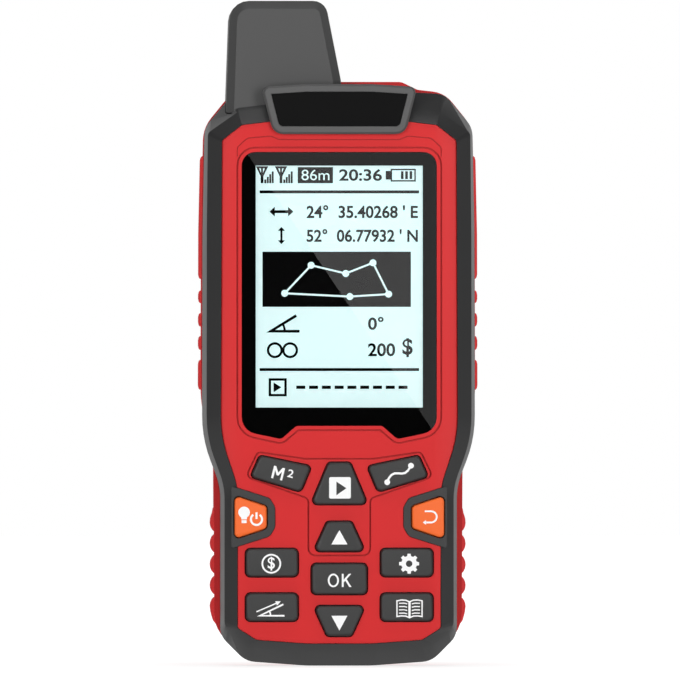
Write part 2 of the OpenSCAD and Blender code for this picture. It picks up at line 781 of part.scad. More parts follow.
// Web that ties a foot boss to the skirt
module foot_gusset(side) {
    reach = 6;
    intersection() {
        block([side * foot_screw_x - boss_r, board_back_y + 0.4, foot_screw_z - reach],
              [side * foot_screw_x + reach, flange_back_y, foot_screw_z + boss_r]);
        prism(rounded(skirt_edge), panel_y, flange_back_y);
    }
}

// Rounds the panel back towards both sides
module panel_rounding() {
    sunk = 0.02;
    for (side = SIDES) scale([side, 1, 1]) difference() {
        block([round_from, panel_y - 1, -1], [frame_w, panel_y + 2, frame_h + 1]);
        translate([round_from, panel_y + round_r - sunk, -2])
            cylinder(h = frame_h + 4, r = round_r, $fn = 240);
    }
}

// Seat of the window, the opening in it, the field and the groove round it
module window_cuts() {
    prism(rounded(whole(field_half)), panel_y - 1, panel_y + field_depth);
    intersection() {
        band(whole(field_half), -groove_w / 3, groove_w / 3, panel_y - 1, panel_y + groove_depth / 2);
        block([-frame_w, panel_y - 1, window_top_z - 1], [frame_w, panel_y + 1, frame_h]);
    }
    prism(rounded(inset(window_edge, -window_gap)), panel_y - 1, window_floor_y);
    slab(-opening_x, opening_low_z, opening_x, opening_high_z, 1, panel_y, panel_in_y + 1);
    band(window_edge, -lip_w - groove_w, -lip_w, panel_y - 1, panel_y + groove_depth);
}

module island_groove() {
    band(whole(island_half), -groove_w / 2, groove_w / 2, panel_y - 1, panel_y + groove_depth);
}

// Black frame round the front, with the surrounds of the two side keys
module frame_body() {
    loft_band([
        ring(rounded(inner_edge), frame_back_y),
        ring(rounded(inner_edge), panel_y - frame_proud),
        ring(rounded(crease_edge), panel_y + crease_back),
        ring(rounded(outer_edge), panel_y + side_back),
        ring(rounded(outer_edge), frame_back_y),
    ]);
}

module bumper_frame() {
    color(BLACK) difference() {
        union() {
            frame_body();
            for (outline = [bracket_left, mirrored(bracket_left)])
                prism(rounded(outline), panel_y - frame_proud, panel_y + bracket_t);
        }
        for (outline = [power_key, mirrored(power_key)])
            key_hole(outline, key_gap, panel_y - 2, key_room_y);
        antenna_space(fit);
    }
}

// Bezel of the blank badge, which saddles the top of the frame
module badge_frame() {
    color(BLACK) difference() {
        loft_solid([
            ring(rounded(inset(badge_edge, 0.5)), front_y),
            ring(rounded(badge_edge), front_y + 0.5),
            ring(rounded(badge_edge), frame_back_y),
        ]);
        frame_body();
        prism(rounded(inner_edge), panel_y, frame_back_y + 1);
        prism(rounded(inset(badge_edge, badge_rim)), front_y - 1, front_y + plate_sunk + badge_plate_t);
        antenna_space(fit);
    }
}

module badge_plate() {
    color(BLACK)
        prism(rounded(inset(badge_edge, badge_rim + fit)),
              front_y + plate_sunk, front_y + plate_sunk + badge_plate_t);
}

module display_window() {
    color([0.05, 0.06, 0.07]) prism(rounded(window_edge), window_y, window_back_y);
}

// Sticky ring that seals the window on its ledge
module window_tape() {
    color(BLACK) difference() {
        prism(rounded(inset(window_edge, 0.1)), window_back_y, window_floor_y);
        slab(-opening_x, opening_low_z, opening_x, opening_high_z, 1, window_y, window_floor_y + 1);
    }
}

module display_glass() {
    color([0.80, 0.93, 0.92])
        slab(-display_x, display_low_z, display_x, display_high_z, 0.4, display_y, display_back_y);
}

module backlight() {
    color([0.9, 0.9, 0.88])
        slab(-display_x, display_low_z, display_x, display_high_z, 0.4, display_back_y, board_y);
}

// Flat cable from the display down to the board
module display_cable() {
    half_w = 9;
    color(FILM) translate([-half_w, 0, 0]) rotate([90, 0, 90]) linear_extrude(height = 2 * half_w)
        polygon([[display_back_y + 0.3, display_low_z], [display_back_y + 0.3, display_low_z - 1],
                 [board_y - 0.2, display_low_z - 3], [board_y, display_low_z - 3],
                 [board_y, display_low_z - 2.5], [display_back_y + 0.6, display_low_z - 0.6],
                 [display_back_y + 0.6, display_low_z]]);
}

// One key: cap, neck, holding flange and stem
module key_cap(key) {
    color(key[3]) union() {
        loft_convex([
            ring(rounded(inset(key[1], 0.5)), key_top_y),
            ring(rounded(inset(key[1], 0.15)), key_top_y + 0.2),
            ring(rounded(key[1]), key_top_y + 0.55),
            ring(rounded(key[1]), cap_end_y),
        ]);
        intersection() {
            union() {
                prism(rounded(key[1]), cap_end_y - 0.2, flange_end_y);
                prism(rounded(inset(key[1], -key_flange_w)), flange_y, flange_end_y);
            }
            prism(rounded(inset(room_edge, 0.25)), panel_y - 1, board_y);
        }
        rod(key[2], key_stem_r, flange_end_y - 0.1, stem_end_y);
    }
}

function mat_edge() = inset(room_edge, 0.4);

// Rubber mat under the keys, standing on the board by its rim
module keypad_mat() {
    top_z = display_low_z - 4.5;
    color([0.3, 0.3, 0.32]) difference() {
        intersection() {
            union() {
                prism(rounded(mat_edge()), mat_y, mat_end_y);
                band(mat_edge(), 0, 0.9, mat_end_y - 0.1, board_y);
                block([-frame_w, mat_end_y - 0.1, top_z - 0.9], [frame_w, board_y, top_z]);
            }
            block([-frame_w, mat_y - 1, 0], [frame_w, board_y + 1, top_z]);
            prism(rounded(mat_edge()), mat_y - 1, board_y);
        }
        for (key = KEYS) rod(key[2], key_stem_r + 0.4, mat_y - 1, board_y + 1);
        for (at = CASE_SCREWS) rod(at, boss_r + 0.4, mat_y - 1, board_y + 1);
        for (at = BOARD_SCREWS) rod(at, board_post_r + 0.3, mat_y - 1, board_y + 1);
    }
}

// Switch contacts on the board, one under each stem
module contact_pads() {
    color([0.85, 0.68, 0.3]) for (key = KEYS) rod(key[2], key_stem_r + 0.2, board_y - pad_t, board_y);
}

module main_board() {
    color(BOARD) difference() {
        intersection() {
            prism(rounded(inset(room_edge, 0.35)), board_y, board_back_y);
            block([-frame_w, board_y - 1, 0], [frame_w, board_back_y + 1, board_top_z]);
        }
        for (at = CASE_SCREWS) rod(at, boss_r + 0.4, board_y - 1, board_back_y + 1);
        for (at = BOARD_SCREWS) rod(at, board_screw_r + fit, board_y - 1, board_back_y + 1);
    }
}

// Shield over the receiver, near the antenna
module shield_can() {
    can_w = 12;
    can_h = 18;
    can_t = board_room - 0.3;
    wall = 0.3;
    x0 = -8;
    z1 = board_top_z - 7.6;
    color(STEEL) difference() {
        slab(x0, z1 - can_h, x0 + can_w, z1, 0.6, board_back_y, board_back_y + can_t);
        slab(x0 + wall, z1 - can_h + wall, x0 + can_w - wall, z1 - wall, 0.4,
             board_back_y - 1, board_back_y + can_t - wall);
    }
}

// A flat part on the back of the board, from its lower left corner
module chip(at, w, h, t) {
    slab(at[0], at[1], at[0] + w, at[1] + h, 0.2, board_back_y, board_back_y + t);
}

// Processor, memory, power chip and the two small connectors on the back of the board
module board_chips() {
    color([0.12, 0.12, 0.13]) {
        chip([-20, cpu_z], cpu_w, cpu_w, 1.2);
        chip([9, cpu_z + 4], 10, 8, 1);
        chip([-19, cpu_z + 18], 6, 6, 1);
        chip([socket_x - charge_plug_w / 2, charge_plug_z - 3], charge_plug_w, 3, 1.5);
        rod([antenna_mid_x, lead_end[2] - 1.5], lead_plug_r, board_back_y, board_back_y + 1.6);
    }
}

// Sounder on the board, behind the holes in the rear case
module buzzer() {
    buzzer_r = 4.6;
    buzzer_h = 3.2;
    color(BLACK) difference() {
        rod(SOUNDER, buzzer_r, board_back_y, board_back_y + buzzer_h);
        rod(SOUNDER, 0.8, board_back_y + buzzer_h / 2, board_back_y + buzzer_h + 1);
    }
}

// One screw with a cross recess: shank from tip_y, head from head_y
module screw(at, r, head_r, tip_y, head_y, head_t) {
    cross_w = head_r * 0.3;
    cross_l = head_r * 1.1;
    difference() {
        union() {
            rod(at, r, tip_y, head_y + 0.1);
            rod(at, head_r, head_y, head_y + head_t);
        }
        for (turn = [0, 90]) translate([at[0], head_y + head_t, at[1]]) rotate([0, turn, 0])
            cube([cross_l, head_t, cross_w], center = true);
    }
}

module board_screws() {
    color(STEEL) for (at = BOARD_SCREWS)
        screw(at, board_screw_r, board_screw_r * 1.9, board_screw_tip_y, board_back_y, 1);
}

module case_screws() {
    color(STEEL) for (at = CASE_SCREWS)
        screw(at, case_screw_r, case_head_r, case_screw_tip_y, case_head_y, case_head_t);
}

// Rubber cord that seals the two halves of the case
module case_seal() {
    color(BLACK)
        band(seal_edge, seal_from, seal_from + seal_w, flange_back_y - seal_h, case_front_y + seal_h);
}

// Half width of the rear case at height z, over its waist
function case_side(z) =
    let (i = z < bulge_z ? 4 : 5, low = case_half[i], high = case_half[i + 1])
    low[0] + (high[0] - low[0]) * (z - low[1]) / (high[1] - low[1]);

// Pads and ribs on one side of the rear case, each from its foot to its top
PADS = [
    [waist_top_z + 38.9, frame_h - 15.6],
    [waist_top_z + 33, waist_top_z + 36.2],
    [waist_top_z + 27.3, waist_top_z + 30.7],
    [waist_top_z + 21.6, waist_top_z + 25.1],
    [waist_top_z + 11.9, waist_top_z + 19.3],
];
// How the ends of a pad round off: share of its height, and way in from its end
PAD_END = [[0.35, 0.08], [0.75, 0.4], [1, 1.1]];
pad_end_y = back_y - back_round - 0.2;
module side_pads(side) {
    in_x = case_w / 2 - 1;
    for (span = PADS) {
        low = [for (s = PAD_END) [s[0], span[0] + s[1]]];
        high = [for (i = [2:-1:0]) [PAD_END[i][0], span[1] - PAD_END[i][1]]];
        middle = span[0] < bulge_z && span[1] > bulge_z ? [[1, bulge_z]] : [];
        prism([[side * in_x, span[0]],
               for (p = concat(low, middle, high)) [side * (case_side(p[1]) + pad_proud * p[0]), p[1]],
               [side * in_x, span[1]]],
              case_front_y + 0.6, pad_end_y);
    }
}

// Lower grip, before its finger notches
grip_proud = pad_proud + 0.15;
module low_grip(side) {
    low_z = foot_corner_z;
    high_z = waist_low_z;
    prism([for (p = [[-1.2, low_z + 2.3], [0, low_z + 3.5], [0.3, low_z + 4.2], [0.55, low_z + 4.9],
                     [0.8, low_z + 5.7], [1, low_z + 7], [1, high_z - 9], [0.9, high_z - 8.1],
                     [0.65, high_z - 7.4], [0.35, high_z - 6.7], [0.1, high_z - 5.6],
                     [-1.2, high_z - 4.4]])
               [side * (case_waist_w / 2 + grip_proud * p[0]), p[1]]],
          case_front_y + 0.3, pad_end_y);
}

// A finger notch in it at height z, between two rounded bumps
notch_pitch = 5.1;
notch_floor = 0.35;
NOTCH_STEPS = [0, 0.07, 0.2, 0.4, 0.66, 1];
module finger_notch(side, z) {
    flat_h = 0.3;
    rise = grip_proud + notch_floor + 0.01;
    half = [for (t = NOTCH_STEPS)
        [case_waist_w / 2 - notch_floor + rise * pow(1 - (1 - t) * (1 - t), 0.7),
         flat_h + t * (notch_pitch / 2 - flat_h)]];
    prism([[side * frame_w, z - notch_pitch / 2], [side * frame_w, z + notch_pitch / 2],
           for (i = [5:-1:0]) [side * half[i][0], z + half[i][1]],
           for (p = half) [side * p[0], z - p[1]]],
          case_front_y - 1, back_y);
}

// Red rear case with the battery room, screw bosses and side grips
module rear_case() {
    color(RED) difference() {
        union() {
            difference() {
                union() {
                    loft_solid([
                        ring(rounded(case_edge), case_front_y),
                        ring(rounded(case_edge), back_y - back_round - 0.6),
                        ring(rounded(inset(case_edge, back_round * 0.3)), back_y - back_round * 0.35),
                        ring(rounded(inset(case_edge, back_round)), back_y),
                    ]);
                    for (side = SIDES) {
                        side_pads(side);
                        low_grip(side);
                    }
                }
                prism(rounded(case_room_edge), case_front_y - 1, back_in_y);
            }
            bay_body();
            for (at = CASE_SCREWS) rod(at, rear_boss_r, case_front_y, back_in_y + 0.1);
            block([-lug_x - 1.5, lug_y0 - 1.3, 1.5],
                  [lug_x + 1.5, back_in_y + 0.1, lug_z1 + scoop_h + 1.6]);
        }
        prism(rounded(bay_edge), bay_y, back_y + 1);
        slab(-door_w / 2 - door_gap, door_low_z - door_gap, door_w / 2 + door_gap,
             door_high_z + door_gap, door_corner_r + door_gap, ledge_y, back_y + 1);
        band(bay_edge, -0.4 - door_seal_w, -0.4, ledge_y - door_seal_t, ledge_y + 1);
        for (at = DOOR_SCREWS) rod(at, door_screw_r + running_fit, door_screw_tip_y - 0.5, back_y);
        for (at = CASE_SCREWS) {
            rod(at, case_screw_r + fit, case_front_y - 1, back_y);
            rod(at, case_head_r + 0.3, case_head_y, back_y + 1);
        }
        band(seal_edge, seal_from - fit, seal_from + seal_w + fit, case_front_y - 1, case_front_y + seal_h);
        antenna_space(fit);
        for (side = SIDES, i = [0:3]) finger_notch(side, waist_low_z - 11.6 - i * notch_pitch);
        for (at = ANTENNA_SCREWS)
            translate([at[0], at[1], antenna_seat_z - 5]) cylinder(h = 6, r = antenna_screw_r + fit);
        translate([antenna_mid_x, lead_y, antenna_seat_z - 5]) cylinder(h = 6, r = lead_r + 0.4);
        socket_cuts();
        strap_cuts();
        sound_holes();
    }
}

// Walls of the battery room, the ledge under its door and the bosses of the door screws
module bay_body() {
    block([-bay_x - bay_wall, bay_y - bay_wall, bay_z - bay_wall],
          [bay_x + bay_wall, back_in_y + 0.1, bay_z + bay_l + bay_wall]);
    slab(-door_w / 2 - ledge_rim, door_low_z - ledge_rim, door_w / 2 + ledge_rim,
         door_high_z + ledge_rim, door_corner_r + 1, ledge_y - ledge_t, back_in_y + 0.1);
    for (at = DOOR_SCREWS) rod(at, door_screw_r + 1.7, door_screw_tip_y - 1.5, back_in_y + 0.1);
}

// Recess of the flap, its hinge pin and the well of the socket
module socket_cuts() {
    low_x = socket_x - flap_w / 2 - fit;
    high_x = socket_x + flap_w / 2 + fit;
    block([low_x, flap_y - fit, flap_low_z - fit], [high_x, hinge_y + 2, hump_z + 1]);
    block([socket_x - socket_w / 2 - 0.2, socket_y - 0.2, antenna_seat_z - 5],
          [socket_x + socket_w / 2 + 0.2, charge_board_y + charge_board_t + 0.2, hump_z]);
    translate([low_x - pin_in - fit, hinge_y, hinge_z]) rotate([0, 90, 0])
        cylinder(h = high_x - low_x + 2 * (pin_in + fit), r = pin_r + 0.02);
}

// Pocket of the strap lug and the scoop above it
module strap_cuts() {
    block([-lug_x - fit, lug_y0 - fit, -1], [lug_x + fit, back_y + 1, lug_z1 + fit]);
    block([-lug_x + 0.6, lug_y0 + 0.8, lug_z1], [lug_x - 0.6, back_y + 1, lug_z1 + scoop_h]);
}

// Row of holes in front of the sounder
module sound_holes() {
    pitch = 2;
    for (i = [-2:2]) rod([SOUNDER[0] + i * pitch, SOUNDER[1]], 0.6, back_in_y - 1, back_y + 1);
}

// Door of the battery room, with a field of finger grooves over its lower screw
module battery_door() {
    groove_l = door_w / 2;
    groove_h = 0.9;
    pitch = 1.8;
    groove_z = DOOR_SCREWS[0][1] + 7;
    color(RED) difference() {
        slab(-door_w / 2, door_low_z, door_w / 2, door_high_z, door_corner_r, door_y, back_y);
        for (at = DOOR_SCREWS) {
            rod(at, door_screw_r + running_fit + 0.02, door_y - 1, back_y + 1);
            rod(at, door_head_r + 0.1, back_y - door_head_t - 0.1, back_y + 1);
        }
        for (i = [0:6])
            block([-groove_l / 2, back_y - 0.4, groove_z + i * pitch],
                  [groove_l / 2, back_y + 1, groove_z + groove_h + i * pitch]);
    }
}

module door_seal() {
    color(BLACK) band(bay_edge, -0.35 - door_seal_w, -0.45, ledge_y - door_seal_t, ledge_y);
}

// Coin screw of the battery door
module door_screw(at) {
    slot_w = 1;
    color(STEEL) difference() {
        union() {
            rod(at, door_screw_r, door_screw_tip_y, back_y - door_head_t + 0.1);
            rod(at, door_head_r, back_y - door_head_t, back_y);
        }
        block([at[0] - door_head_r - 1, back_y - door_head_t / 2, at[1] - slot_w / 2],
              [at[0] + door_head_r + 1, back_y + 1, at[1] + slot_w / 2]);
    }
}

module battery_cell() {
    z0 = bay_z + contact_room;
    cap_h = 1.2;
    color([0.2, 0.42, 0.62]) translate([0, cell_y, z0]) {
        cylinder(h = cell_l - cap_h, r = cell_d / 2);
        cylinder(h = cell_l, r = cell_d / 6);
    }
}

// Sprung contact strips at both ends of the cell
module battery_contacts() {
    strip_t = 0.4;
    half_w = 3.5;
    color([0.86, 0.76, 0.45]) for (end = [0, 1]) {
        wall_z = bay_z + end * bay_l;
        toward = end == 0 ? 1 : -1;
        tip_z = wall_z + toward * (contact_room - 0.05);
        translate([-half_w, 0, 0]) rotate([90, 0, 90]) linear_extrude(height = 2 * half_w)
            polygon([[cell_y - 5, wall_z], [cell_y + 5, wall_z], [cell_y + 5, wall_z + toward * strip_t],
                     [cell_y + 3.4, wall_z + toward * strip_t], [cell_y + 0.4, tip_z],
                     [cell_y - 0.4, tip_z],
                     [cell_y - 0.8, tip_z - toward * strip_t], [cell_y + 2.4, wall_z + toward * strip_t],
                     [cell_y - 5, wall_z + toward * strip_t]]);
    }
}

// Front and back face of the cover, which reach down to its seat
function antenna_face() =
    let (edge = inset(antenna_edge, antenna_bevel))
    rounded([[edge[0][0], antenna_seat_z, 0.5], [edge[1][0], antenna_seat_z, 0.5],
             edge[2], edge[3], edge[4]]);

// Hollow cover of the antenna
module antenna_cover() {
    inner_y0 = antenna_y + antenna_wall;
    inner_y1 = antenna_back_y - antenna_wall;
    color(BLACK) difference() {
        loft_convex([
            ring(antenna_face(), antenna_y),
            ring(rounded(antenna_edge), antenna_y + antenna_bevel),
            ring(rounded(antenna_edge), antenna_back_y - antenna_bevel),
            ring(antenna_face(), antenna_back_y),
        ]);
        prism(antenna_room(0), inner_y0, inner_y1);
    }
}

// Inside of the cover, open at the foot, made smaller by gap
function antenna_room(gap) =
    let (edge = inset(antenna_edge, antenna_wall + gap))
    rounded([[edge[0][0], antenna_seat_z - 2, 0.2], [edge[1][0], antenna_seat_z - 2, 0.2],
             edge[2], edge[3], edge[4]]);

// Plug that closes the cover and carries the antenna board
module antenna_base() {
    color(BLACK) difference() {
        intersection() {
            prism(antenna_room(fit), antenna_y + antenna_wall + fit, antenna_back_y - antenna_wall - fit);
            block([-frame_w, antenna_y, antenna_seat_z],
                  [frame_w, antenna_back_y, antenna_seat_z + plug_h]);
        }
        block([antenna_mid_x - antenna_board_w / 2 - fit, antenna_mid_y - antenna_board_t / 2 - fit / 2,
               antenna_board_z],
              [antenna_mid_x + antenna_board_w / 2 + fit, antenna_mid_y + antenna_board_t / 2 + fit / 2,
               antenna_seat_z + plug_h + 1]);
        translate([antenna_mid_x, lead_y, antenna_seat_z - 1]) cylinder(h = plug_h + 2, r = lead_r + 0.15);
        for (at = ANTENNA_SCREWS)
            translate([at[0], at[1], antenna_seat_z - 1])
                cylinder(h = 4, r = antenna_screw_r + running_fit);
    }
}

module antenna_board() {
    color(BOARD)
        block([antenna_mid_x - antenna_board_w / 2, antenna_mid_y - antenna_board_t / 2, antenna_board_z],
              [antenna_mid_x + antenna_board_w / 2, antenna_mid_y + antenna_board_t / 2,
               antenna_board_z + patch_w + 3.5]);
}

// Ceramic patch on the front of the antenna board
module patch_antenna() {
    z0 = antenna_seat_z + plug_h + 1;
    y1 = antenna_mid_y - antenna_board_t / 2;
    color([0.85, 0.82, 0.75]) {
        slab(antenna_mid_x - patch_w / 2, z0, antenna_mid_x + patch_w / 2, z0 + patch_w, 0.6,
             y1 - patch_t, y1);
    }
}

module antenna_lead() {
    color(BLACK) tube(lead_path, lead_r);
}

// Two screws that hold the antenna from inside the case
module antenna_screws() {
    floor_z = seal_top_z - case_wall;
    color(STEEL) for (at = ANTENNA_SCREWS) translate([at[0], at[1], 0]) {
        translate([0, 0, floor_z - 1.2]) cylinder(h = 1.2, r = antenna_screw_r * 1.8);
        translate([0, 0, floor_z - 0.1]) cylinder(h = antenna_seat_z + 2.5 - floor_z, r = antenna_screw_r);
    }
}

module charge_board() {
    half_w = socket_w / 2 - 0.1;
    color(BOARD) block([socket_x - half_w, charge_board_y, socket_low_z - 14],
                       [socket_x + half_w, charge_board_y + charge_board_t, socket_high_z]);
}

// Metal shell of the charging socket with its tongue
module usb_socket() {
    wall = 0.3;
    tongue_w = socket_w - 2.4;
    tongue_t = 0.7;
    color(STEEL) {
        difference() {
            block([socket_x - socket_w / 2, socket_y, socket_low_z],
                  [socket_x + socket_w / 2, socket_y + socket_d, socket_high_z]);
            block([socket_x - socket_w / 2 + wall, socket_y + wall, socket_low_z + 1],
                  [socket_x + socket_w / 2 - wall, socket_y + socket_d - wall, socket_high_z + 1]);
        }
        block([socket_x - tongue_w / 2, socket_y + (socket_d - tongue_t) / 2, socket_low_z + 0.9],
              [socket_x + tongue_w / 2, socket_y + (socket_d + tongue_t) / 2, socket_high_z - 0.8]);
    }
}

// Flat cable from the charging board to the main board
module charge_cable() {
    cable_w = charge_plug_w - 2;
    top_z = socket_low_z - 10;
    low_z = charge_plug_z;
    back = charge_board_y;
    front = board_back_y + 0.7;
    t = 0.3;
    color(FILM)
        translate([socket_x - cable_w / 2, 0, 0]) rotate([90, 0, 90]) linear_extrude(height = cable_w)
        polygon([[back, top_z], [back - t, top_z], [back - t, top_z - 3], [back - 5, top_z - 7],
                 [front + 2.3, low_z + 3.5], [front, low_z + 2], [front, low_z],
                 [front + t, low_z], [front + t, low_z + 1.8], [front + 2.5, low_z + 3.1],
                 [back - 4.7, top_z - 7.3], [back, top_z - 3.2]]);
}

// Rubber flap over the socket, turning on its pin
module usb_flap() {
    low_x = socket_x - flap_w / 2;
    color(BLACK) difference() {
        union() {
            block([low_x, flap_y, flap_low_z], [low_x + flap_w, hinge_y, hump_z]);
            translate([low_x, hinge_y, hinge_z]) rotate([0, 90, 0]) cylinder(h = flap_w, r = flap_t / 2);
        }
        translate([low_x - 1, hinge_y, hinge_z]) rotate([0, 90, 0])
            cylinder(h = flap_w + 2, r = pin_r + running_fit);
    }
}

module flap_pin() {
    color(STEEL) translate([socket_x - flap_w / 2 - pin_in, hinge_y, hinge_z]) rotate([0, 90, 0])
        cylinder(h = flap_w + 2 * pin_in, r = pin_r);
}

// Insert with the eye for a wrist strap
module strap_lug() {
    mid_y = (lug_y0 + lug_y1) / 2;
    color(BLACK) difference() {
        block([-lug_x, lug_y0, lug_z0], [lug_x, lug_y1, lug_z1]);
        translate([0, mid_y, lug_z0 - 1]) cylinder(h = lug_z1 - lug_z0 + 2, r = strap_r);
    }
}

front_case();
bumper_frame();
badge_frame();
badge_plate();
display_window();
window_tape();
display_glass();
backlight();
display_cable();
for (key = KEYS) key_cap(key);
keypad_mat();
contact_pads();
main_board();
shield_can();
board_chips();
buzzer();
board_screws();
case_screws();
case_seal();
rear_case();
battery_door();
door_seal();
door_screw(DOOR_SCREWS[0]);  // door_screw_low
door_screw(DOOR_SCREWS[1]);  // door_screw_high
battery_cell();
battery_contacts();
antenna_cover();
antenna_base();
antenna_board();
patch_antenna();
antenna_lead();
antenna_screws();
charge_board();
usb_socket();
charge_cable();
usb_flap();
flap_pin();
strap_lug();
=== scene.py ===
import math

import bmesh
import bpy
from mathutils import Matrix, Vector


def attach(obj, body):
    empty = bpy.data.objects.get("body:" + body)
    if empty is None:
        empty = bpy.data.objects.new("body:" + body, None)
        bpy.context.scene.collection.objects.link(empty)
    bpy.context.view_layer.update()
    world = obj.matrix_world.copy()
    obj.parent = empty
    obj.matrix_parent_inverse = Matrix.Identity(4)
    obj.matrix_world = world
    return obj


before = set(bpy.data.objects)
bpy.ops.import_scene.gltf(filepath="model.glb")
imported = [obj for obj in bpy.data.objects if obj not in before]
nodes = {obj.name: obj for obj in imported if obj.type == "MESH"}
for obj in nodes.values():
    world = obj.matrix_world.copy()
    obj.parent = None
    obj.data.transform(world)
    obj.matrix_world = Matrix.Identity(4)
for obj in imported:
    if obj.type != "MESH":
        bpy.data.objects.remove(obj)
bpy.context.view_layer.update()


# Camera and table
# The meter stands upright on a white table, seen square from the front by a long lens. The white
# paper behind it shines round its sides, and one slanted card in front mirrors in its window.
MM = 0.001
PHOTO_WIDTH = 165.4 * MM
CAMERA_AZIMUTH = math.radians(-1.1)
CAMERA_LENS = 1000
SENSOR = 36
photo_centre = Vector((0.46, 0, 79.07)) * MM
camera_data = bpy.data.cameras.new("camera")
camera_data.lens = CAMERA_LENS
camera_data.sensor_width = SENSOR
camera_data.clip_end = 50
camera_far = PHOTO_WIDTH * CAMERA_LENS / SENSOR
camera_back = Vector((math.sin(CAMERA_AZIMUTH), -math.cos(CAMERA_AZIMUTH), 0))
camera = bpy.data.objects.new("camera", camera_data)
camera.location = photo_centre + camera_back * camera_far
camera.rotation_mode = "QUATERNION"
camera.rotation_quaternion = (-camera_back).to_track_quat("-Z", "Y")
bpy.context.scene.collection.objects.link(camera)
bpy.context.scene.camera = camera
bpy.context.scene.view_settings.view_transform = "Standard"


def new_object(name, data):
    piece = bpy.data.objects.new(name, data)
    bpy.context.scene.collection.objects.link(piece)
    return piece


def new_mesh(name, points, faces):
    """A mesh object from points in millimetres."""
    mesh = bpy.data.meshes.new(name)
    mesh.from_pydata([Vector(p) * MM for p in points], [], faces)
    mesh.update()
    return new_object(name, mesh)


def new_material(name, colour, roughness, metallic=0.0):
    """A material with its Principled shader, as (material, node tree, shader)."""
    material = bpy.data.materials.new(name)
    material.use_nodes = True
    tree = material.node_tree
    shader = tree.nodes["Principled BSDF"]
    shader.inputs["Base Color"].default_value = (*colour, 1)
    shader.inputs["Roughness"].default_value = roughness
    shader.inputs["Metallic"].default_value = metallic
    material.diffuse_color = (*colour, 1)
    return material, tree, shader


def add(tree, kind, **settings):
    """A new node, with its own settings and its inputs by name."""
    made = tree.nodes.new(kind)
    for key, value in settings.items():
        if hasattr(made, key):
            setattr(made, key, value)
        else:
            made.inputs[key.replace("_", " ")].default_value = value
    return made


TABLE_HALF = 3000
PAPER_COLOUR = (0.35, 0.35, 0.35)
PAPER_BOUNCE = 0.6
SHADE_NEAR, SHADE_FAR = 20, 120
SHADE_LEVEL = 0.72
table_corners = [(-TABLE_HALF, -TABLE_HALF, 0), (TABLE_HALF, -TABLE_HALF, 0), (TABLE_HALF, TABLE_HALF, 0),
                 (-TABLE_HALF, TABLE_HALF, 0)]
table_top = new_mesh("table_top", table_corners, [(0, 1, 2, 3)])
table_paper, table_tree, table_shader = new_material("white_paper", PAPER_COLOUR, 0.8)
# The camera sees lit paper that also glows. Every other ray meets an even pale sheet
table_glow = add(table_tree, "ShaderNodeEmission", Strength=1.0)
table_sum = add(table_tree, "ShaderNodeAddShader")
table_path = add(table_tree, "ShaderNodeLightPath")
table_mix = add(table_tree, "ShaderNodeMixShader")
table_bounce = add(table_tree, "ShaderNodeEmission", Strength=PAPER_BOUNCE)
# A painted shadow round the foot: the paper glows less within a hand's breadth of it, where the meter would
# shade it
table_place = add(table_tree, "ShaderNodeTexCoord")
table_reach = add(table_tree, "ShaderNodeVectorMath", operation="LENGTH")
table_painted_shadow = add(table_tree, "ShaderNodeMapRange", interpolation_type="SMOOTHSTEP")
table_painted_shadow.inputs["From Min"].default_value = SHADE_NEAR * MM
table_painted_shadow.inputs["From Max"].default_value = SHADE_FAR * MM
table_painted_shadow.inputs["To Min"].default_value = SHADE_LEVEL
table_tree.links.new(table_place.outputs["Object"], table_reach.inputs[0])
table_tree.links.new(table_reach.outputs["Value"], table_painted_shadow.inputs["Value"])
table_tree.links.new(table_painted_shadow.outputs["Result"], table_glow.inputs["Color"])
table_tree.links.new(table_glow.outputs[0], table_sum.inputs[0])
table_tree.links.new(table_shader.outputs[0], table_sum.inputs[1])
table_tree.links.new(table_path.outputs["Is Camera Ray"], table_mix.inputs["Fac"])
table_tree.links.new(table_bounce.outputs[0], table_mix.inputs[1])
table_tree.links.new(table_sum.outputs[0], table_mix.inputs[2])
table_tree.links.new(table_mix.outputs[0], table_tree.nodes["Material Output"].inputs["Surface"])
table_top.data.materials.append(table_paper)

# The studio round the meter: bright paper behind it and at its sides, and dark space in front and above
SKY_SIDE, SKY_SIDE_LEVEL = 0.5, 0.03
SKY_BACK, SKY_BACK_LEVEL = 1.0, 0.62
SKY_PAPER = (0.64, 0.8)
SKY_RIM_LOW, SKY_RIM_HIGH = 0.68, 0.84
SKY_TOP_LEVEL = 0.04
world = bpy.data.worlds.new("studio")
bpy.context.scene.world = world
world.use_nodes = True
sky = world.node_tree
sky_background = sky.nodes["Background"]
sky_output = sky.nodes["World Output"]
sky_place = add(sky, "ShaderNodeTexCoord")
sky_axes = add(sky, "ShaderNodeSeparateXYZ")
sky.links.new(sky_place.outputs["Generated"], sky_axes.inputs[0])
sky_ramp = add(sky, "ShaderNodeValToRGB")
sky_stops = sky_ramp.color_ramp.elements
sky_stops[0].position = SKY_SIDE
sky_stops[0].color = (SKY_SIDE_LEVEL, SKY_SIDE_LEVEL, SKY_SIDE_LEVEL, 1)
sky_stops[1].position = SKY_BACK
sky_stops[1].color = (SKY_BACK_LEVEL, SKY_BACK_LEVEL, SKY_BACK_LEVEL, 1)
for place in SKY_PAPER:
    sky_stops.new(place).color = (1, 1, 1, 1)
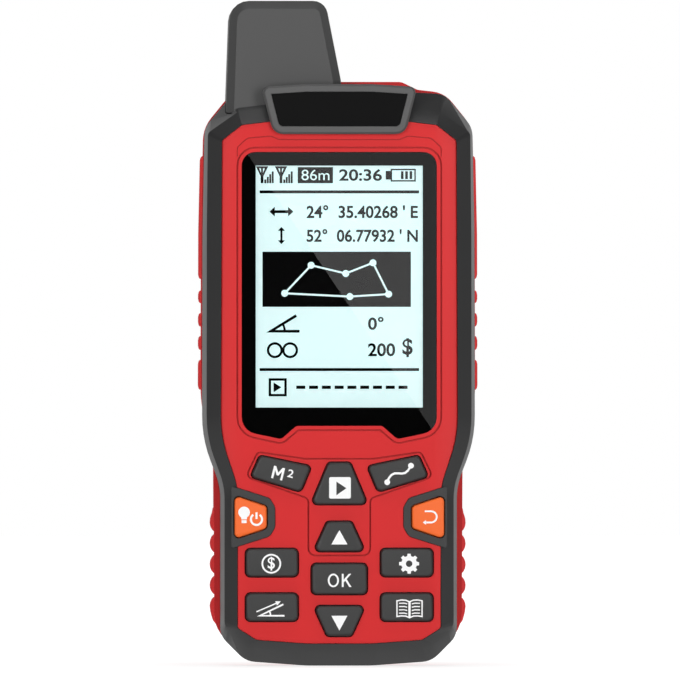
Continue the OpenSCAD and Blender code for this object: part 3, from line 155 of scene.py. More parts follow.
# The ramp is read at 0 straight in front of the meter, at 0.5 beside it and at 1 straight behind it
sky_half = add(sky, "ShaderNodeMath", operation="MULTIPLY_ADD")
sky_half.inputs[1].default_value = 0.5
sky_half.inputs[2].default_value = 0.5
sky.links.new(sky_axes.outputs["Y"], sky_half.inputs[0])
sky.links.new(sky_half.outputs[0], sky_ramp.inputs["Fac"])
sky_top = add(sky, "ShaderNodeMapRange")
sky_top.inputs["From Min"].default_value = SKY_RIM_LOW
sky_top.inputs["From Max"].default_value = SKY_RIM_HIGH
sky_top.inputs["To Min"].default_value = 1.0
sky_top.inputs["To Max"].default_value = SKY_TOP_LEVEL
sky.links.new(sky_axes.outputs["Z"], sky_top.inputs["Value"])
sky_shade = add(sky, "ShaderNodeVectorMath", operation="SCALE")
sky.links.new(sky_ramp.outputs["Color"], sky_shade.inputs[0])
sky.links.new(sky_top.outputs["Result"], sky_shade.inputs["Scale"])
sky.links.new(sky_shade.outputs["Vector"], sky_background.inputs["Color"])
sky_white = add(sky, "ShaderNodeBackground", Color=(1, 1, 1, 1), Strength=1.0)
sky_mix = add(sky, "ShaderNodeMixShader")
sky_path = add(sky, "ShaderNodeLightPath")
sky.links.new(sky_path.outputs["Is Camera Ray"], sky_mix.inputs["Fac"])
sky.links.new(sky_background.outputs[0], sky_mix.inputs[1])
sky.links.new(sky_white.outputs[0], sky_mix.inputs[2])
sky.links.new(sky_mix.outputs[0], sky_output.inputs["Surface"])


METER_MIDDLE = Vector((0, 0, 80))


def soft_light(name, place, size, power):
    """A soft box at a place in millimetres, turned to the middle of the meter."""
    data = bpy.data.lights.new(name, "AREA")
    data.shape = "RECTANGLE"
    data.size = size[0] * MM
    data.size_y = size[1] * MM
    data.energy = power
    light = new_object(name, data)
    light.location = Vector(place) * MM
    light.rotation_mode = "QUATERNION"
    light.rotation_quaternion = (Vector(place) - METER_MIDDLE).to_track_quat("Z", "Y")
    light.visible_camera = False


soft_light("left_box", (-300, -720, 190), (220, 420), 2.3)
soft_light("right_box", (300, -720, 190), (220, 420), 2.55)
soft_light("top_box", (0, -170, 620), (500, 200), 1.0)

# The card whose straight edge crosses the window from its upper left corner to its lower right
CARD_GAP = 400
CARD_HALF_LENGTH, CARD_WIDTH = 200, 190
CARD_LIGHT = 0.75
WINDOW_FORWARD = 15
card_on_window = Vector((-6.4, 0, 100.5)) * MM
card_slope = Vector((0.67, 0, -1)).normalized()
card_across = Vector((-card_slope.z, 0, card_slope.x))
mirror_share = CARD_GAP * MM / camera_far
card_view = card_on_window - Vector((camera.location.x, 0, camera.location.z))
card_foot = card_on_window + card_view * mirror_share
card_foot.y = -(CARD_GAP + WINDOW_FORWARD) * MM
card_corners = [card_foot + card_slope * along * MM + card_across * out * MM
                for along, out in ((-CARD_HALF_LENGTH, 0), (CARD_HALF_LENGTH, 0),
                                   (CARD_HALF_LENGTH, CARD_WIDTH), (-CARD_HALF_LENGTH, CARD_WIDTH))]
card = new_mesh("window_card", [corner / MM for corner in card_corners], [(0, 1, 2, 3)])
card_paper, card_tree, card_shader = new_material("card_light", (0, 0, 0), 1)
card_shader.inputs["Emission Color"].default_value = (1, 1, 1, 1)
card_shader.inputs["Emission Strength"].default_value = CARD_LIGHT
card.data.materials.append(card_paper)
card.visible_camera = False
card.visible_shadow = False
card.visible_diffuse = False


# Front case
# One red ABS moulding with the panel, the skirt inside the frame and the flange behind it. It has a
# fine spark-eroded grain, and the toolmaker broke all its edges.
RED = (0.64, 0.014, 0.016)


def new_group(name, inputs, outputs):
    """A shader node group with named sockets, each (name, socket kind, value)."""
    group = bpy.data.node_groups.new(name, "ShaderNodeTree")
    for label, kind, value in inputs:
        socket = group.interface.new_socket(label, in_out="INPUT", socket_type=kind)
        socket.default_value = value
    for label, kind in outputs:
        group.interface.new_socket(label, in_out="OUTPUT", socket_type=kind)
    return group, group.nodes.new("NodeGroupInput"), group.nodes.new("NodeGroupOutput")


def place_group(tree, group, **values):
    """Puts a group into a material with its own values."""
    made = tree.nodes.new("ShaderNodeGroup")
    made.node_tree = group
    for label, value in values.items():
        made.inputs[label.replace("_", " ")].default_value = value
    return made


# Grain of a moulding: cloudy colour, and the pits of the eroded tool
grain, grain_in, grain_out = new_group(
    "moulding_grain",
    [("Colour", "NodeSocketColor", (0.5, 0.5, 0.5, 1)), ("Cloud", "NodeSocketFloat", 0.06),
     ("Pit Size", "NodeSocketFloat", 0.3), ("Roughness", "NodeSocketFloat", 0.5),
     ("Sheen Spread", "NodeSocketFloat", 0.08)],
    [("Colour", "NodeSocketColor"), ("Roughness", "NodeSocketFloat"), ("Height", "NodeSocketFloat")])
grain_place = add(grain, "ShaderNodeTexCoord")
grain_clouds = add(grain, "ShaderNodeTexNoise", Scale=70.0, Detail=3.0, Roughness=0.55)
grain.links.new(grain_place.outputs["Object"], grain_clouds.inputs["Vector"])
grain_shade = add(grain, "ShaderNodeMath", operation="MULTIPLY_ADD")
grain_centre = add(grain, "ShaderNodeMath", operation="SUBTRACT")
grain_centre.inputs[1].default_value = 0.5
grain.links.new(grain_clouds.outputs["Fac"], grain_centre.inputs[0])
grain.links.new(grain_centre.outputs[0], grain_shade.inputs[0])
grain.links.new(grain_in.outputs["Cloud"], grain_shade.inputs[1])
grain_shade.inputs[2].default_value = 1.0
grain_tint = add(grain, "ShaderNodeVectorMath", operation="SCALE")
grain.links.new(grain_in.outputs["Colour"], grain_tint.inputs[0])
grain.links.new(grain_shade.outputs[0], grain_tint.inputs["Scale"])
grain.links.new(grain_tint.outputs["Vector"], grain_out.inputs["Colour"])
grain_density = add(grain, "ShaderNodeMath", operation="DIVIDE")
grain_density.inputs[0].default_value = 1000.0
grain.links.new(grain_in.outputs["Pit Size"], grain_density.inputs[1])
grain_pits = add(grain, "ShaderNodeTexNoise", Detail=2.0, Roughness=0.6)
grain.links.new(grain_place.outputs["Object"], grain_pits.inputs["Vector"])
grain.links.new(grain_density.outputs[0], grain_pits.inputs["Scale"])
grain.links.new(grain_pits.outputs["Fac"], grain_out.inputs["Height"])
grain_rub = add(grain, "ShaderNodeTexNoise", Scale=35.0, Detail=4.0, Roughness=0.6)
grain.links.new(grain_place.outputs["Object"], grain_rub.inputs["Vector"])
grain_rub_centre = add(grain, "ShaderNodeMath", operation="SUBTRACT")
grain_rub_centre.inputs[1].default_value = 0.5
grain.links.new(grain_rub.outputs["Fac"], grain_rub_centre.inputs[0])
grain_gloss = add(grain, "ShaderNodeMath", operation="MULTIPLY_ADD")
grain.links.new(grain_rub_centre.outputs[0], grain_gloss.inputs[0])
grain.links.new(grain_in.outputs["Sheen Spread"], grain_gloss.inputs[1])
grain.links.new(grain_in.outputs["Roughness"], grain_gloss.inputs[2])
grain.links.new(grain_gloss.outputs[0], grain_out.inputs["Roughness"])

# Painted shade for grooves and narrow gaps, taken from ambient occlusion: 1 in the open and 0 deep in a
# groove
painted_groove_shade, crevice_in, crevice_out = new_group(
    "painted_groove_shade", [("Reach", "NodeSocketFloat", 0.0006)], [("Open", "NodeSocketFloat")])
crevice_sky = add(painted_groove_shade, "ShaderNodeAmbientOcclusion", samples=6)
painted_groove_shade.links.new(crevice_in.outputs["Reach"], crevice_sky.inputs["Distance"])
crevice_range = add(painted_groove_shade, "ShaderNodeMapRange")
crevice_range.inputs["From Min"].default_value = 0.25
crevice_range.inputs["From Max"].default_value = 0.8
painted_groove_shade.links.new(crevice_sky.outputs["AO"], crevice_range.inputs["Value"])
painted_groove_shade.links.new(crevice_range.outputs["Result"], crevice_out.inputs["Open"])

# Handling polishes the edges of a moulding: 1 on a worn edge and 0 on its faces
wear, wear_in, wear_out = new_group(
    "edge_wear",
    [("Reach", "NodeSocketFloat", 0.0004), ("Amount", "NodeSocketFloat", 0.5)],
    [("Worn", "NodeSocketFloat")])
wear_round = add(wear, "ShaderNodeBevel", samples=4)
wear.links.new(wear_in.outputs["Reach"], wear_round.inputs["Radius"])
wear_true = add(wear, "ShaderNodeNewGeometry")
wear_dot = add(wear, "ShaderNodeVectorMath", operation="DOT_PRODUCT")
wear.links.new(wear_round.outputs["Normal"], wear_dot.inputs[0])
wear.links.new(wear_true.outputs["Normal"], wear_dot.inputs[1])
wear_edge = add(wear, "ShaderNodeMapRange")
wear_edge.inputs["From Min"].default_value = 0.995
wear_edge.inputs["From Max"].default_value = 0.8
wear.links.new(wear_dot.outputs["Value"], wear_edge.inputs["Value"])
wear_place = add(wear, "ShaderNodeTexCoord")
wear_breaks = add(wear, "ShaderNodeTexNoise", Scale=180.0, Detail=5.0, Roughness=0.65)
wear.links.new(wear_place.outputs["Object"], wear_breaks.inputs["Vector"])
wear_broken = add(wear, "ShaderNodeMath", operation="MULTIPLY")
wear.links.new(wear_edge.outputs["Result"], wear_broken.inputs[0])
wear.links.new(wear_breaks.outputs["Fac"], wear_broken.inputs[1])
wear_amount = add(wear, "ShaderNodeMath", operation="MULTIPLY", use_clamp=True)
wear.links.new(wear_broken.outputs[0], wear_amount.inputs[0])
wear.links.new(wear_in.outputs["Amount"], wear_amount.inputs[1])
wear.links.new(wear_amount.outputs[0], wear_out.inputs["Worn"])


WORN_GAIN, WORN_LIFT = 1.25, 0.01
WORN_POLISH = -0.12
GROOVE_SHADE_LEVEL = 0.5


def moulded(name, colour, roughness, pit=0.3, pit_depth=0.006, cloud=0.08, wear_amount=0.6, shine=0.5,
            groove_shade=0.0):
    """A moulded plastic or rubber: its grain, its colour clouds, its polished edges, and painted shade in its
    grooves.
    """
    material, tree, shader = new_material(name, colour, roughness)
    shader.inputs["Specular IOR Level"].default_value = shine
    body = place_group(tree, grain, Colour=(*colour, 1), Cloud=cloud, Pit_Size=pit, Roughness=roughness)
    edge = place_group(tree, wear, Amount=wear_amount)
    worn = tuple(min(1, c * WORN_GAIN + WORN_LIFT) for c in colour)
    tint = add(tree, "ShaderNodeMix", data_type="RGBA")
    tree.links.new(edge.outputs["Worn"], tint.inputs["Factor"])
    tree.links.new(body.outputs["Colour"], tint.inputs["A"])
    tint.inputs["B"].default_value = (*worn, 1)
    tree.links.new(tint.outputs["Result"], shader.inputs["Base Color"])
    # Painted shade: deep in a groove or gap the colour darkens to half of itself
    if groove_shade:
        shade_mask = place_group(tree, painted_groove_shade, Reach=groove_shade * MM)
        shade = add(tree, "ShaderNodeMix", data_type="RGBA")
        shade.inputs["A"].default_value = (*(c * GROOVE_SHADE_LEVEL for c in colour), 1)
        tree.links.new(shade_mask.outputs["Open"], shade.inputs["Factor"])
        tree.links.new(tint.outputs["Result"], shade.inputs["B"])
        tree.links.new(shade.outputs["Result"], shader.inputs["Base Color"])
    gloss = add(tree, "ShaderNodeMath", operation="MULTIPLY_ADD", use_clamp=True)
    gloss.inputs[1].default_value = WORN_POLISH
    tree.links.new(edge.outputs["Worn"], gloss.inputs[0])
    tree.links.new(body.outputs["Roughness"], gloss.inputs[2])
    tree.links.new(gloss.outputs[0], shader.inputs["Roughness"])
    pits = add(tree, "ShaderNodeBump", Strength=0.5, Distance=pit_depth * MM)
    tree.links.new(body.outputs["Height"], pits.inputs["Height"])
    tree.links.new(pits.outputs["Normal"], shader.inputs["Normal"])
    return material


def new_edge_smoother():
    """Geometry nodes that smooth a piece's facets and keep its real edges sharp."""
    tree = bpy.data.node_groups.new("smooth_facets", "GeometryNodeTree")
    tree.interface.new_socket("Geometry", in_out="INPUT", socket_type="NodeSocketGeometry")
    tree.interface.new_socket("Sharpest", in_out="INPUT", socket_type="NodeSocketFloat")
    tree.interface.new_socket("Geometry", in_out="OUTPUT", socket_type="NodeSocketGeometry")
    given = tree.nodes.new("NodeGroupInput")
    result = tree.nodes.new("NodeGroupOutput")
    bare = tree.nodes.new("GeometryNodeRemoveAttribute")
    bare.inputs["Name"].default_value = "custom_normal"
    smooth = tree.nodes.new("GeometryNodeSetShadeSmooth")
    angle = tree.nodes.new("GeometryNodeInputMeshEdgeAngle")
    sharp = tree.nodes.new("FunctionNodeCompare")
    sharp.operation = "GREATER_THAN"
    crease = tree.nodes.new("GeometryNodeSetShadeSmooth")
    crease.domain = "EDGE"
    crease.inputs["Shade Smooth"].default_value = False
    tree.links.new(given.outputs["Geometry"], bare.inputs["Geometry"])
    tree.links.new(bare.outputs["Geometry"], smooth.inputs["Geometry"])
    tree.links.new(smooth.outputs["Geometry"], crease.inputs["Geometry"])
    tree.links.new(angle.outputs["Unsigned Angle"], sharp.inputs[0])
    tree.links.new(given.outputs["Sharpest"], sharp.inputs[1])
    tree.links.new(sharp.outputs["Result"], crease.inputs["Selection"])
    tree.links.new(crease.outputs["Geometry"], result.inputs["Geometry"])
    return tree


smooth_facets = new_edge_smoother()
WELD_REACH = 0.002
FLAT_DEGREES, BREAK_DEGREES = 0.6, 24


def dress(name, material, edge=0.0, sharpest=32):
    """Gives a CAD node its material, joins its facets and breaks its edges by edge millimetres."""
    node = nodes[name]
    node.data.materials.clear()
    node.data.materials.append(material)
    weld = node.modifiers.new("weld", "WELD")
    weld.merge_threshold = WELD_REACH * MM
    if edge:
        flats = node.modifiers.new("flats", "DECIMATE")
        flats.decimate_type = "DISSOLVE"
        flats.angle_limit = math.radians(FLAT_DEGREES)
        broken = node.modifiers.new("broken_edges", "BEVEL")
        broken.width = edge * MM
        broken.segments = 2
        broken.limit_method = "ANGLE"
        broken.angle_limit = math.radians(BREAK_DEGREES)
        broken.use_clamp_overlap = True
        broken.miter_outer = "MITER_ARC"
    facets = node.modifiers.new("facets", "NODES")
    facets.node_group = smooth_facets
    sharp_from = smooth_facets.interface.items_tree["Sharpest"].identifier
    facets[sharp_from] = math.radians(sharpest)
    flats_first = node.modifiers.new("flats_first", "WEIGHTED_NORMAL")
    flats_first.keep_sharp = True


red_shell = moulded("red_shell", RED, 0.46, shine=0.22, groove_shade=0.5)
dress("front_case", red_shell)


# Bumper frame
# The black frame round the front is moulded in a tough nylon blend and slips over the skirt of the front
# case. A hard crease runs all round it, and it carries the surrounds of the two orange keys.
frame_black = moulded("frame_black", (0.022, 0.022, 0.0225), 0.36, groove_shade=0.5)
dress("bumper_frame", frame_black, 0.12, sharpest=20)


# Badge
# A bezel that saddles the top edge of the frame, glued on, with a glossy black plate stuck in it. The
# plate carries no words.
dress("badge_frame", moulded("bezel_black", (0.066, 0.066, 0.066), 0.4, pit=0.2), 0.2)
plate_black = moulded("plate_black", (0.003, 0.003, 0.0031), 0.3, pit=0.15, pit_depth=0.001, shine=0.07)
dress("badge_plate", plate_black)


# Window
# A clear acrylic plate with two ears at its foot, printed black on its back round the picture. Double
# sided tape holds it in its recess in the front case.
WINDOW_SIDE, WINDOW_FOOT, WINDOW_TOP = 23.6, 58.3, 124.6
EAR_START, EAR_TIP, EAR_FOOT, EAR_SIDE = 10.42, 14.1, 55.1, 57.1
# Right half of its outline from the foot up, each corner (x, z, radius)
WINDOW_HALF = [(EAR_START, WINDOW_FOOT, 1.5), (EAR_TIP, EAR_FOOT, 1.4), (WINDOW_SIDE, EAR_SIDE, 4),
               (WINDOW_SIDE, WINDOW_TOP, 3.2)]
WINDOW_BACK = -13.68
PICTURE_HALF = 20.25
PICTURE_FOOT, PICTURE_TOP = 62.7, 121.35
INK_THICK = 0.02

acrylic, acrylic_tree, acrylic_shader = new_material("window_acrylic", (1, 1, 1), 0.0)
acrylic_shader.inputs["Transmission Weight"].default_value = 1.0
acrylic_shader.inputs["IOR"].default_value = 1.49
# The casting is faintly cloudy
casting = place_group(acrylic_tree, grain, Colour=(0.985, 0.985, 0.985, 1), Cloud=0.03)
acrylic_tree.links.new(casting.outputs["Colour"], acrylic_shader.inputs["Base Color"])
dress("display_window", acrylic)
dress("window_tape", moulded("tape_black", (0.01, 0.01, 0.01), 0.6, pit=0.5))


def box_at(left, right, low, high):
    return [(left, low), (right, low), (right, high), (left, high)]


def rounded(corners, steps=8):
    """A closed outline in millimetres with rounded corners, each (x, z, radius)."""
    points = []
    for i, (x, z, radius) in enumerate(corners):
        here = Vector((x, z))
        before = (Vector(corners[i - 1][:2]) - here).normalized()
        after = (Vector(corners[(i + 1) % len(corners)][:2]) - here).normalized()
        half = before.angle(after) / 2
        reach = radius / math.tan(half)
        centre = here + (before + after).normalized() * radius / math.sin(half)
        first = here + before * reach - centre
        last = here + after * reach - centre
        turn = first.angle_signed(last)
        for k in range(steps + 1):
            points.append(centre + Matrix.Rotation(-turn * k / steps, 2) @ first)
    return points


def mirrored(half):
    """A whole outline from its right half, listed from the foot up."""
    return half + [(-x, z, radius) for x, z, radius in reversed(half)]


def plate(outlines, front, thick):
    """Flat plate curves in millimetres: an outline inside another is a hole."""
    data = bpy.data.curves.new("plate", "CURVE")
    data.dimensions = "2D"
    data.fill_mode = "BOTH"
    data.extrude = thick / 2
    for outline in outlines:
        spline = data.splines.new("POLY")
        spline.points.add(len(outline) - 1)
        for point, at in zip(spline.points, outline):
            point.co = (at[0], at[1], 0, 1)
        spline.use_cyclic_u = True
    return solid_from(data, front, thick)


def solid_from(data, front, thick):
    """Stands a flat curve or word up facing -Y, its front face at the height front, as a bmesh."""
    holder = new_object("holder", data)
    mesh = bpy.data.meshes.new_from_object(holder.evaluated_get(bpy.context.evaluated_depsgraph_get()))
    made = bmesh.new()
    made.from_mesh(mesh)
    stand = Matrix.Rotation(math.radians(90), 4, "X")
    bmesh.ops.transform(made, matrix=Matrix.Translation((0, front + thick / 2, 0)) @ stand, verts=made.verts)
    bpy.data.objects.remove(holder)
    bpy.data.meshes.remove(mesh)
    return made


def printed(name, shapes, material, body):
    """One piece of print from several bmeshes in millimetres, riding on a body."""
    whole = bmesh.new()
    for shape in shapes:
        passing = bpy.data.meshes.new("passing")
        shape.to_mesh(passing)
        whole.from_mesh(passing)
        bpy.data.meshes.remove(passing)
        shape.free()
    bmesh.ops.scale(whole, vec=(MM, MM, MM), verts=whole.verts)
    mesh = bpy.data.meshes.new(name)
    whole.to_mesh(mesh)
    whole.free()
    piece = new_object(name, mesh)
    piece.data.materials.append(material)
    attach(piece, body)
    return piece


window_ink = moulded("window_ink", (0.0012, 0.0012, 0.0012), 0.5, pit=0.1, pit_depth=0.001, wear_amount=0,
                     shine=0.0)
ink_outline = rounded(mirrored(WINDOW_HALF))
ink_hole = box_at(-PICTURE_HALF, PICTURE_HALF, PICTURE_FOOT, PICTURE_TOP)
ink = printed("window_print", [plate([ink_outline, ink_hole], WINDOW_BACK - 2 * INK_THICK, INK_THICK)],
              window_ink, "housing")


# Display
# A pale liquid crystal panel with its lit diffuser behind. Its picture is dark cells in the glass: a
# status row, two places in degrees, a walked track in a dark box, two values and a start sign.
LCD_FACE = -12.6
CELL_THICK = 0.02
# Light of the diffuser: uneven glow between its lamps, and the fine matrix of the cells
glow, glow_in, glow_out = new_group(
    "matrix_glow",
    [("Colour", "NodeSocketColor", (0.7, 1, 1, 1)), ("Unevenness", "NodeSocketFloat", 0.08),
     ("Cell Size", "NodeSocketFloat", 0.12)],
    [("Glow", "NodeSocketColor"), ("Height", "NodeSocketFloat")])
glow_place = add(glow, "ShaderNodeTexCoord")
glow_lamps = add(glow, "ShaderNodeTexNoise", Scale=25.0, Detail=1.0)
glow.links.new(glow_place.outputs["Object"], glow_lamps.inputs["Vector"])
glow_level = add(glow, "ShaderNodeMath", operation="MULTIPLY_ADD")
glow.links.new(glow_lamps.outputs["Fac"], glow_level.inputs[0])
glow.links.new(glow_in.outputs["Unevenness"], glow_level.inputs[1])
glow_level.inputs[2].default_value = 0.96
glow_tint = add(glow, "ShaderNodeVectorMath", operation="SCALE")
glow.links.new(glow_in.outputs["Colour"], glow_tint.inputs[0])
glow.links.new(glow_level.outputs[0], glow_tint.inputs["Scale"])
glow.links.new(glow_tint.outputs["Vector"], glow_out.inputs["Glow"])
glow_pitch = add(glow, "ShaderNodeMath", operation="DIVIDE")
glow_pitch.inputs[0].default_value = 1000.0
glow.links.new(glow_in.outputs["Cell Size"], glow_pitch.inputs[1])
glow_cells = add(glow, "ShaderNodeTexVoronoi", feature="F1", distance="CHEBYCHEV", Randomness=0.0)
glow.links.new(glow_place.outputs["Object"], glow_cells.inputs["Vector"])
glow.links.new(glow_pitch.outputs[0], glow_cells.inputs["Scale"])
glow.links.new(glow_cells.outputs["Distance"], glow_out.inputs["Height"])


def lit(name, colour, strength):
    """A lit pale part of the panel: it shines through the cells' fine matrix."""
    material, tree, shader = new_material(name, colour, 0.25)
    light = place_group(tree, glow)
    tree.links.new(light.outputs["Glow"], shader.inputs["Emission Color"])
    shader.inputs["Emission Strength"].default_value = strength
    ripple = add(tree, "ShaderNodeBump", Strength=0.2, Distance=0.002 * MM)
    tree.links.new(light.outputs["Height"], ripple.inputs["Height"])
    tree.links.new(ripple.outputs["Normal"], shader.inputs["Normal"])
    return material


lcd_pale = lit("lcd_pale", (0.55, 0.62, 0.62), 0.68)
dress("display_glass", lcd_pale)
lcd_dark = moulded("lcd_dark", (0.0012, 0.0012, 0.0014), 0.3, pit=0.12, pit_depth=0.001, wear_amount=0,
                   shine=0.0)
lcd_light = lit("lcd_clear", (0.6, 0.68, 0.68), 0.68)


def oval(centre, across, high, steps=32):
    """A closed oval outline, from its two half widths."""
    return [(centre[0] + across * math.cos(2 * math.pi * k / steps),
             centre[1] + high * math.sin(2 * math.pi * k / steps)) for k in range(steps)]


def disc(centre, radius, steps=32):
    return oval(centre, radius, radius, steps)


def polar(centre, radius, degrees):
    """A point round a centre, its angle counted from +X towards +Z."""
    return (centre[0] + radius * math.cos(math.radians(degrees)),
            centre[1] + radius * math.sin(math.radians(degrees)))


def arc(centre, radius, start, end, steps=24):
    return [polar(centre, radius, start + (end - start) * k / steps) for k in range(steps + 1)]


def band(points, width, closed=False):
    """The outline of a drawn line of one width, with mitred corners."""
    count = len(points)
    sides = ([], [])
    for i in range(count):
        here = Vector(points[i])
        before = here - Vector(points[i - 1]) if closed or i else None
        after = Vector(points[(i + 1) % count]) - here if closed or i < count - 1 else None
        before = (before or after).normalized()
        after = (after or before).normalized()
        across = Vector((-before.y - after.y, before.x + after.x)).normalized()
        reach = width / 2 / max(0.3, across.dot(Vector((-before.y, before.x))))
        sides[0].append(here + across * reach)
        sides[1].append(here - across * reach)
    if closed:
        return [sides[0], sides[1]]
    return [sides[0] + sides[1][::-1]]


CAPITAL_SHARE = 0.73


def figures(text, centre, height, width, front, thick, tilt=0, weight=0.03):
    """Figures of a given height and width round a centre, in millimetres."""
    data = bpy.data.curves.new("figures", "FONT")
    data.body = text
    data.size = height / CAPITAL_SHARE
    data.offset = weight * height
    data.extrude = thick / 2
    data.resolution_u = 4
    made = solid_from(data, front, thick)
    xs = [v.co.x for v in made.verts]
    zs = [v.co.z for v in made.verts]
    to_centre = (-(min(xs) + max(xs)) / 2, 0, -(min(zs) + max(zs)) / 2)
    to_size = (width / (max(xs) - min(xs)), 1, height / (max(zs) - min(zs)))
    bmesh.ops.translate(made, vec=to_centre, verts=made.verts)
    bmesh.ops.scale(made, vec=to_size, verts=made.verts)
    turn = Matrix.Translation((centre[0], 0, centre[1])) @ Matrix.Rotation(math.radians(-tilt), 4, "Y")
    bmesh.ops.transform(made, matrix=turn, verts=made.verts)
    return made


def cells(outlines, lift=0):
    return plate(outlines, LCD_FACE - CELL_THICK * (1 + lift), CELL_THICK)


def cell_figures(text, centre, height, width, lift=0, weight=0.03):
    return figures(text, centre, height, width, LCD_FACE - CELL_THICK * (1 + lift), CELL_THICK, weight=weight)


dark_cells = []


def dark(*outlines):
    """Adds one dark cell to the picture: its outline, and the holes in it."""
    dark_cells.append(cells(outlines))


def dark_figures(text, centre, height, width):
    dark_cells.append(cell_figures(text, centre, height, width))


# Status row: two aerials, each with four bars that rise, then a dark box, the time and a battery
STATUS_FOOT, STATUS_MIDDLE = 117.1, 119.1
AERIAL_TOP, AERIAL_FORK, MAST_HALF = 121.2, 118.8, 0.34
PANE_TOP, PANE_FOOT, PANE_GAP = 120.7, 119.6, 0.24
BAR_WIDTH, BAR_PITCH, BAR_RISE = 0.48, 0.6, 0.65
for left in (-20.0, -15.4):
    mast = left + 1.3
    dark([(left - 0.2, AERIAL_TOP), (left + 2.8, AERIAL_TOP), (mast + MAST_HALF, AERIAL_FORK),
          (mast + MAST_HALF, STATUS_FOOT), (mast - MAST_HALF, STATUS_FOOT), (mast - MAST_HALF, AERIAL_FORK)],
         [(left + 0.62, PANE_TOP), (mast - PANE_GAP, PANE_TOP), (mast - PANE_GAP, PANE_FOOT)],
         [(left + 1.98, PANE_TOP), (mast + PANE_GAP, PANE_FOOT), (mast + PANE_GAP, PANE_TOP)])
    for step in range(4):
        bar = left + 1.85 + BAR_PITCH * step
        dark(box_at(bar, bar + BAR_WIDTH, STATUS_FOOT, 118.0 + BAR_RISE * step))
dark(box_at(-10.05, -1.5, STATUS_FOOT, 121.0))
dark_figures("20:36", (5.2, STATUS_MIDDLE), 2.9, 10.4)
dark(box_at(12.5, 18.6, 117.5, 120.6), box_at(12.85, 18.25, 117.85, 120.25))
dark(box_at(11.3, 12.5, 118.0, 120.1))
CHARGE_PITCH = 1.05
for step in range(3):
    dark(box_at(15.0 + CHARGE_PITCH * step, 15.62 + CHARGE_PITCH * step, 118.1, 120.0))

# Two ruled lines across the picture
LINE_HALF = 0.36
for line_z in (115.0, 71.9):
    dark(box_at(-19.3, 19.4, line_z - LINE_HALF, line_z + LINE_HALF))

# The place in degrees, with an arrow across before its first row and one upright before its second
FIGURE_HEIGHT = 3.2
EAST_ROW, NORTH_ROW = 110.2, 104.4
PLACE_X, PLACE_WIDTH = 5.6, 27.0
dark_figures("24°  35.40268 ' E", (PLACE_X, EAST_ROW), FIGURE_HEIGHT, PLACE_WIDTH)
dark_figures("52°  06.77932 ' N", (PLACE_X, NORTH_ROW), FIGURE_HEIGHT, PLACE_WIDTH)
ARROW_X = -14.0
ARROW_UPRIGHT = 0.72
ARROW = [(-2.9, 0), (-1.6, 1.2), (-1.6, 0.35), (1.6, 0.35), (1.6, 1.2), (2.9, 0), (1.6, -1.2), (1.6, -0.35),
         (-1.6, -0.35), (-1.6, -1.2)]
dark([(ARROW_X + x, EAST_ROW + z) for x, z in ARROW])
dark([(ARROW_X + z * ARROW_UPRIGHT, NORTH_ROW - x * ARROW_UPRIGHT) for x, z in ARROW])

# The dark box behind the track, then an angle and two rings with their values
dark(box_at(-18.6, 17.4, 87.1, 100.5))
ANGLE_CORNER = (-16.6, 81.2)
dark(*band([(-10.4, 85.0), ANGLE_CORNER, (-9.6, 81.2)], 0.7))
dark(*band(arc(ANGLE_CORNER, 3.4, 2, 30, 6), 0.55))
dark_figures("0°", (8.9, 83.1), FIGURE_HEIGHT, 3.8)
RING_ROW = 76.6
for ring_x in (-15.6, -11.9):
    dark(disc((ring_x, RING_ROW), 1.95), disc((ring_x, RING_ROW), 1.35))
dark_figures("200", (10.3, 76.7), FIGURE_HEIGHT, 6.6)
dark_figures("$", (16.6, 77.2), 4.6, 2.5)

# The start sign in its frame, with a row of dashes after it
dark(box_at(-17.1, -12.7, 65.4, 69.8), box_at(-16.5, -13.3, 66.0, 69.2))
dark([(-15.9, 66.4), (-14.0, 67.6), (-15.9, 68.8)])
DASH_LENGTH, DASH_PITCH = 2.2, 3.1
for step in range(9):
    left = -10.4 + DASH_PITCH * step
    dark(box_at(left, left + DASH_LENGTH, 67.2, 68.0))
lcd_cells = printed("display_dark_cells", dark_cells, lcd_dark, "housing")

# Clear cells over the dark boxes: the walked track with a dot at each corner, and a reading
TRACK = [(-13.2, 90.4), (-6.8, 97.2), (1.6, 95.2), (8.2, 97.8), (12.0, 90.2), (2.6, 89.6)]
TRACK_WIDTH, TRACK_DOT = 0.45, 0.85
light_cells = [cells(band(TRACK, TRACK_WIDTH, closed=True), 1)]
for corner in TRACK:
    light_cells.append(cells([disc(corner, TRACK_DOT, 16)], 2))
light_cells.append(cell_figures("86m", (-5.75, STATUS_MIDDLE), 2.6, 6.8, 1, 0.0))
lcd_marks = printed("display_clear_cells", light_cells, lcd_light, "housing")
dress("backlight", lit("diffuser_white", (0.8, 0.82, 0.82), 0.3))
# Its flat cable: amber film over rows of copper tracks
ribbon, ribbon_in, ribbon_out = new_group(
    "cable_tracks",
    [("Film", "NodeSocketColor", (0.55, 0.26, 0.05, 1)), ("Copper", "NodeSocketColor", (0.75, 0.42, 0.12, 1)),
     ("Pitch", "NodeSocketFloat", 0.5)],
    [("Colour", "NodeSocketColor"), ("Height", "NodeSocketFloat")])
ribbon_place = add(ribbon, "ShaderNodeTexCoord")
ribbon_density = add(ribbon, "ShaderNodeMath", operation="DIVIDE")
ribbon_density.inputs[0].default_value = 1000.0 / math.tau
ribbon.links.new(ribbon_in.outputs["Pitch"], ribbon_density.inputs[1])
ribbon_lines = add(ribbon, "ShaderNodeTexWave", wave_type="BANDS", bands_direction="X")
ribbon.links.new(ribbon_place.outputs["Object"], ribbon_lines.inputs["Vector"])
ribbon.links.new(ribbon_density.outputs[0], ribbon_lines.inputs["Scale"])
ribbon_mix = add(ribbon, "ShaderNodeMix", data_type="RGBA")
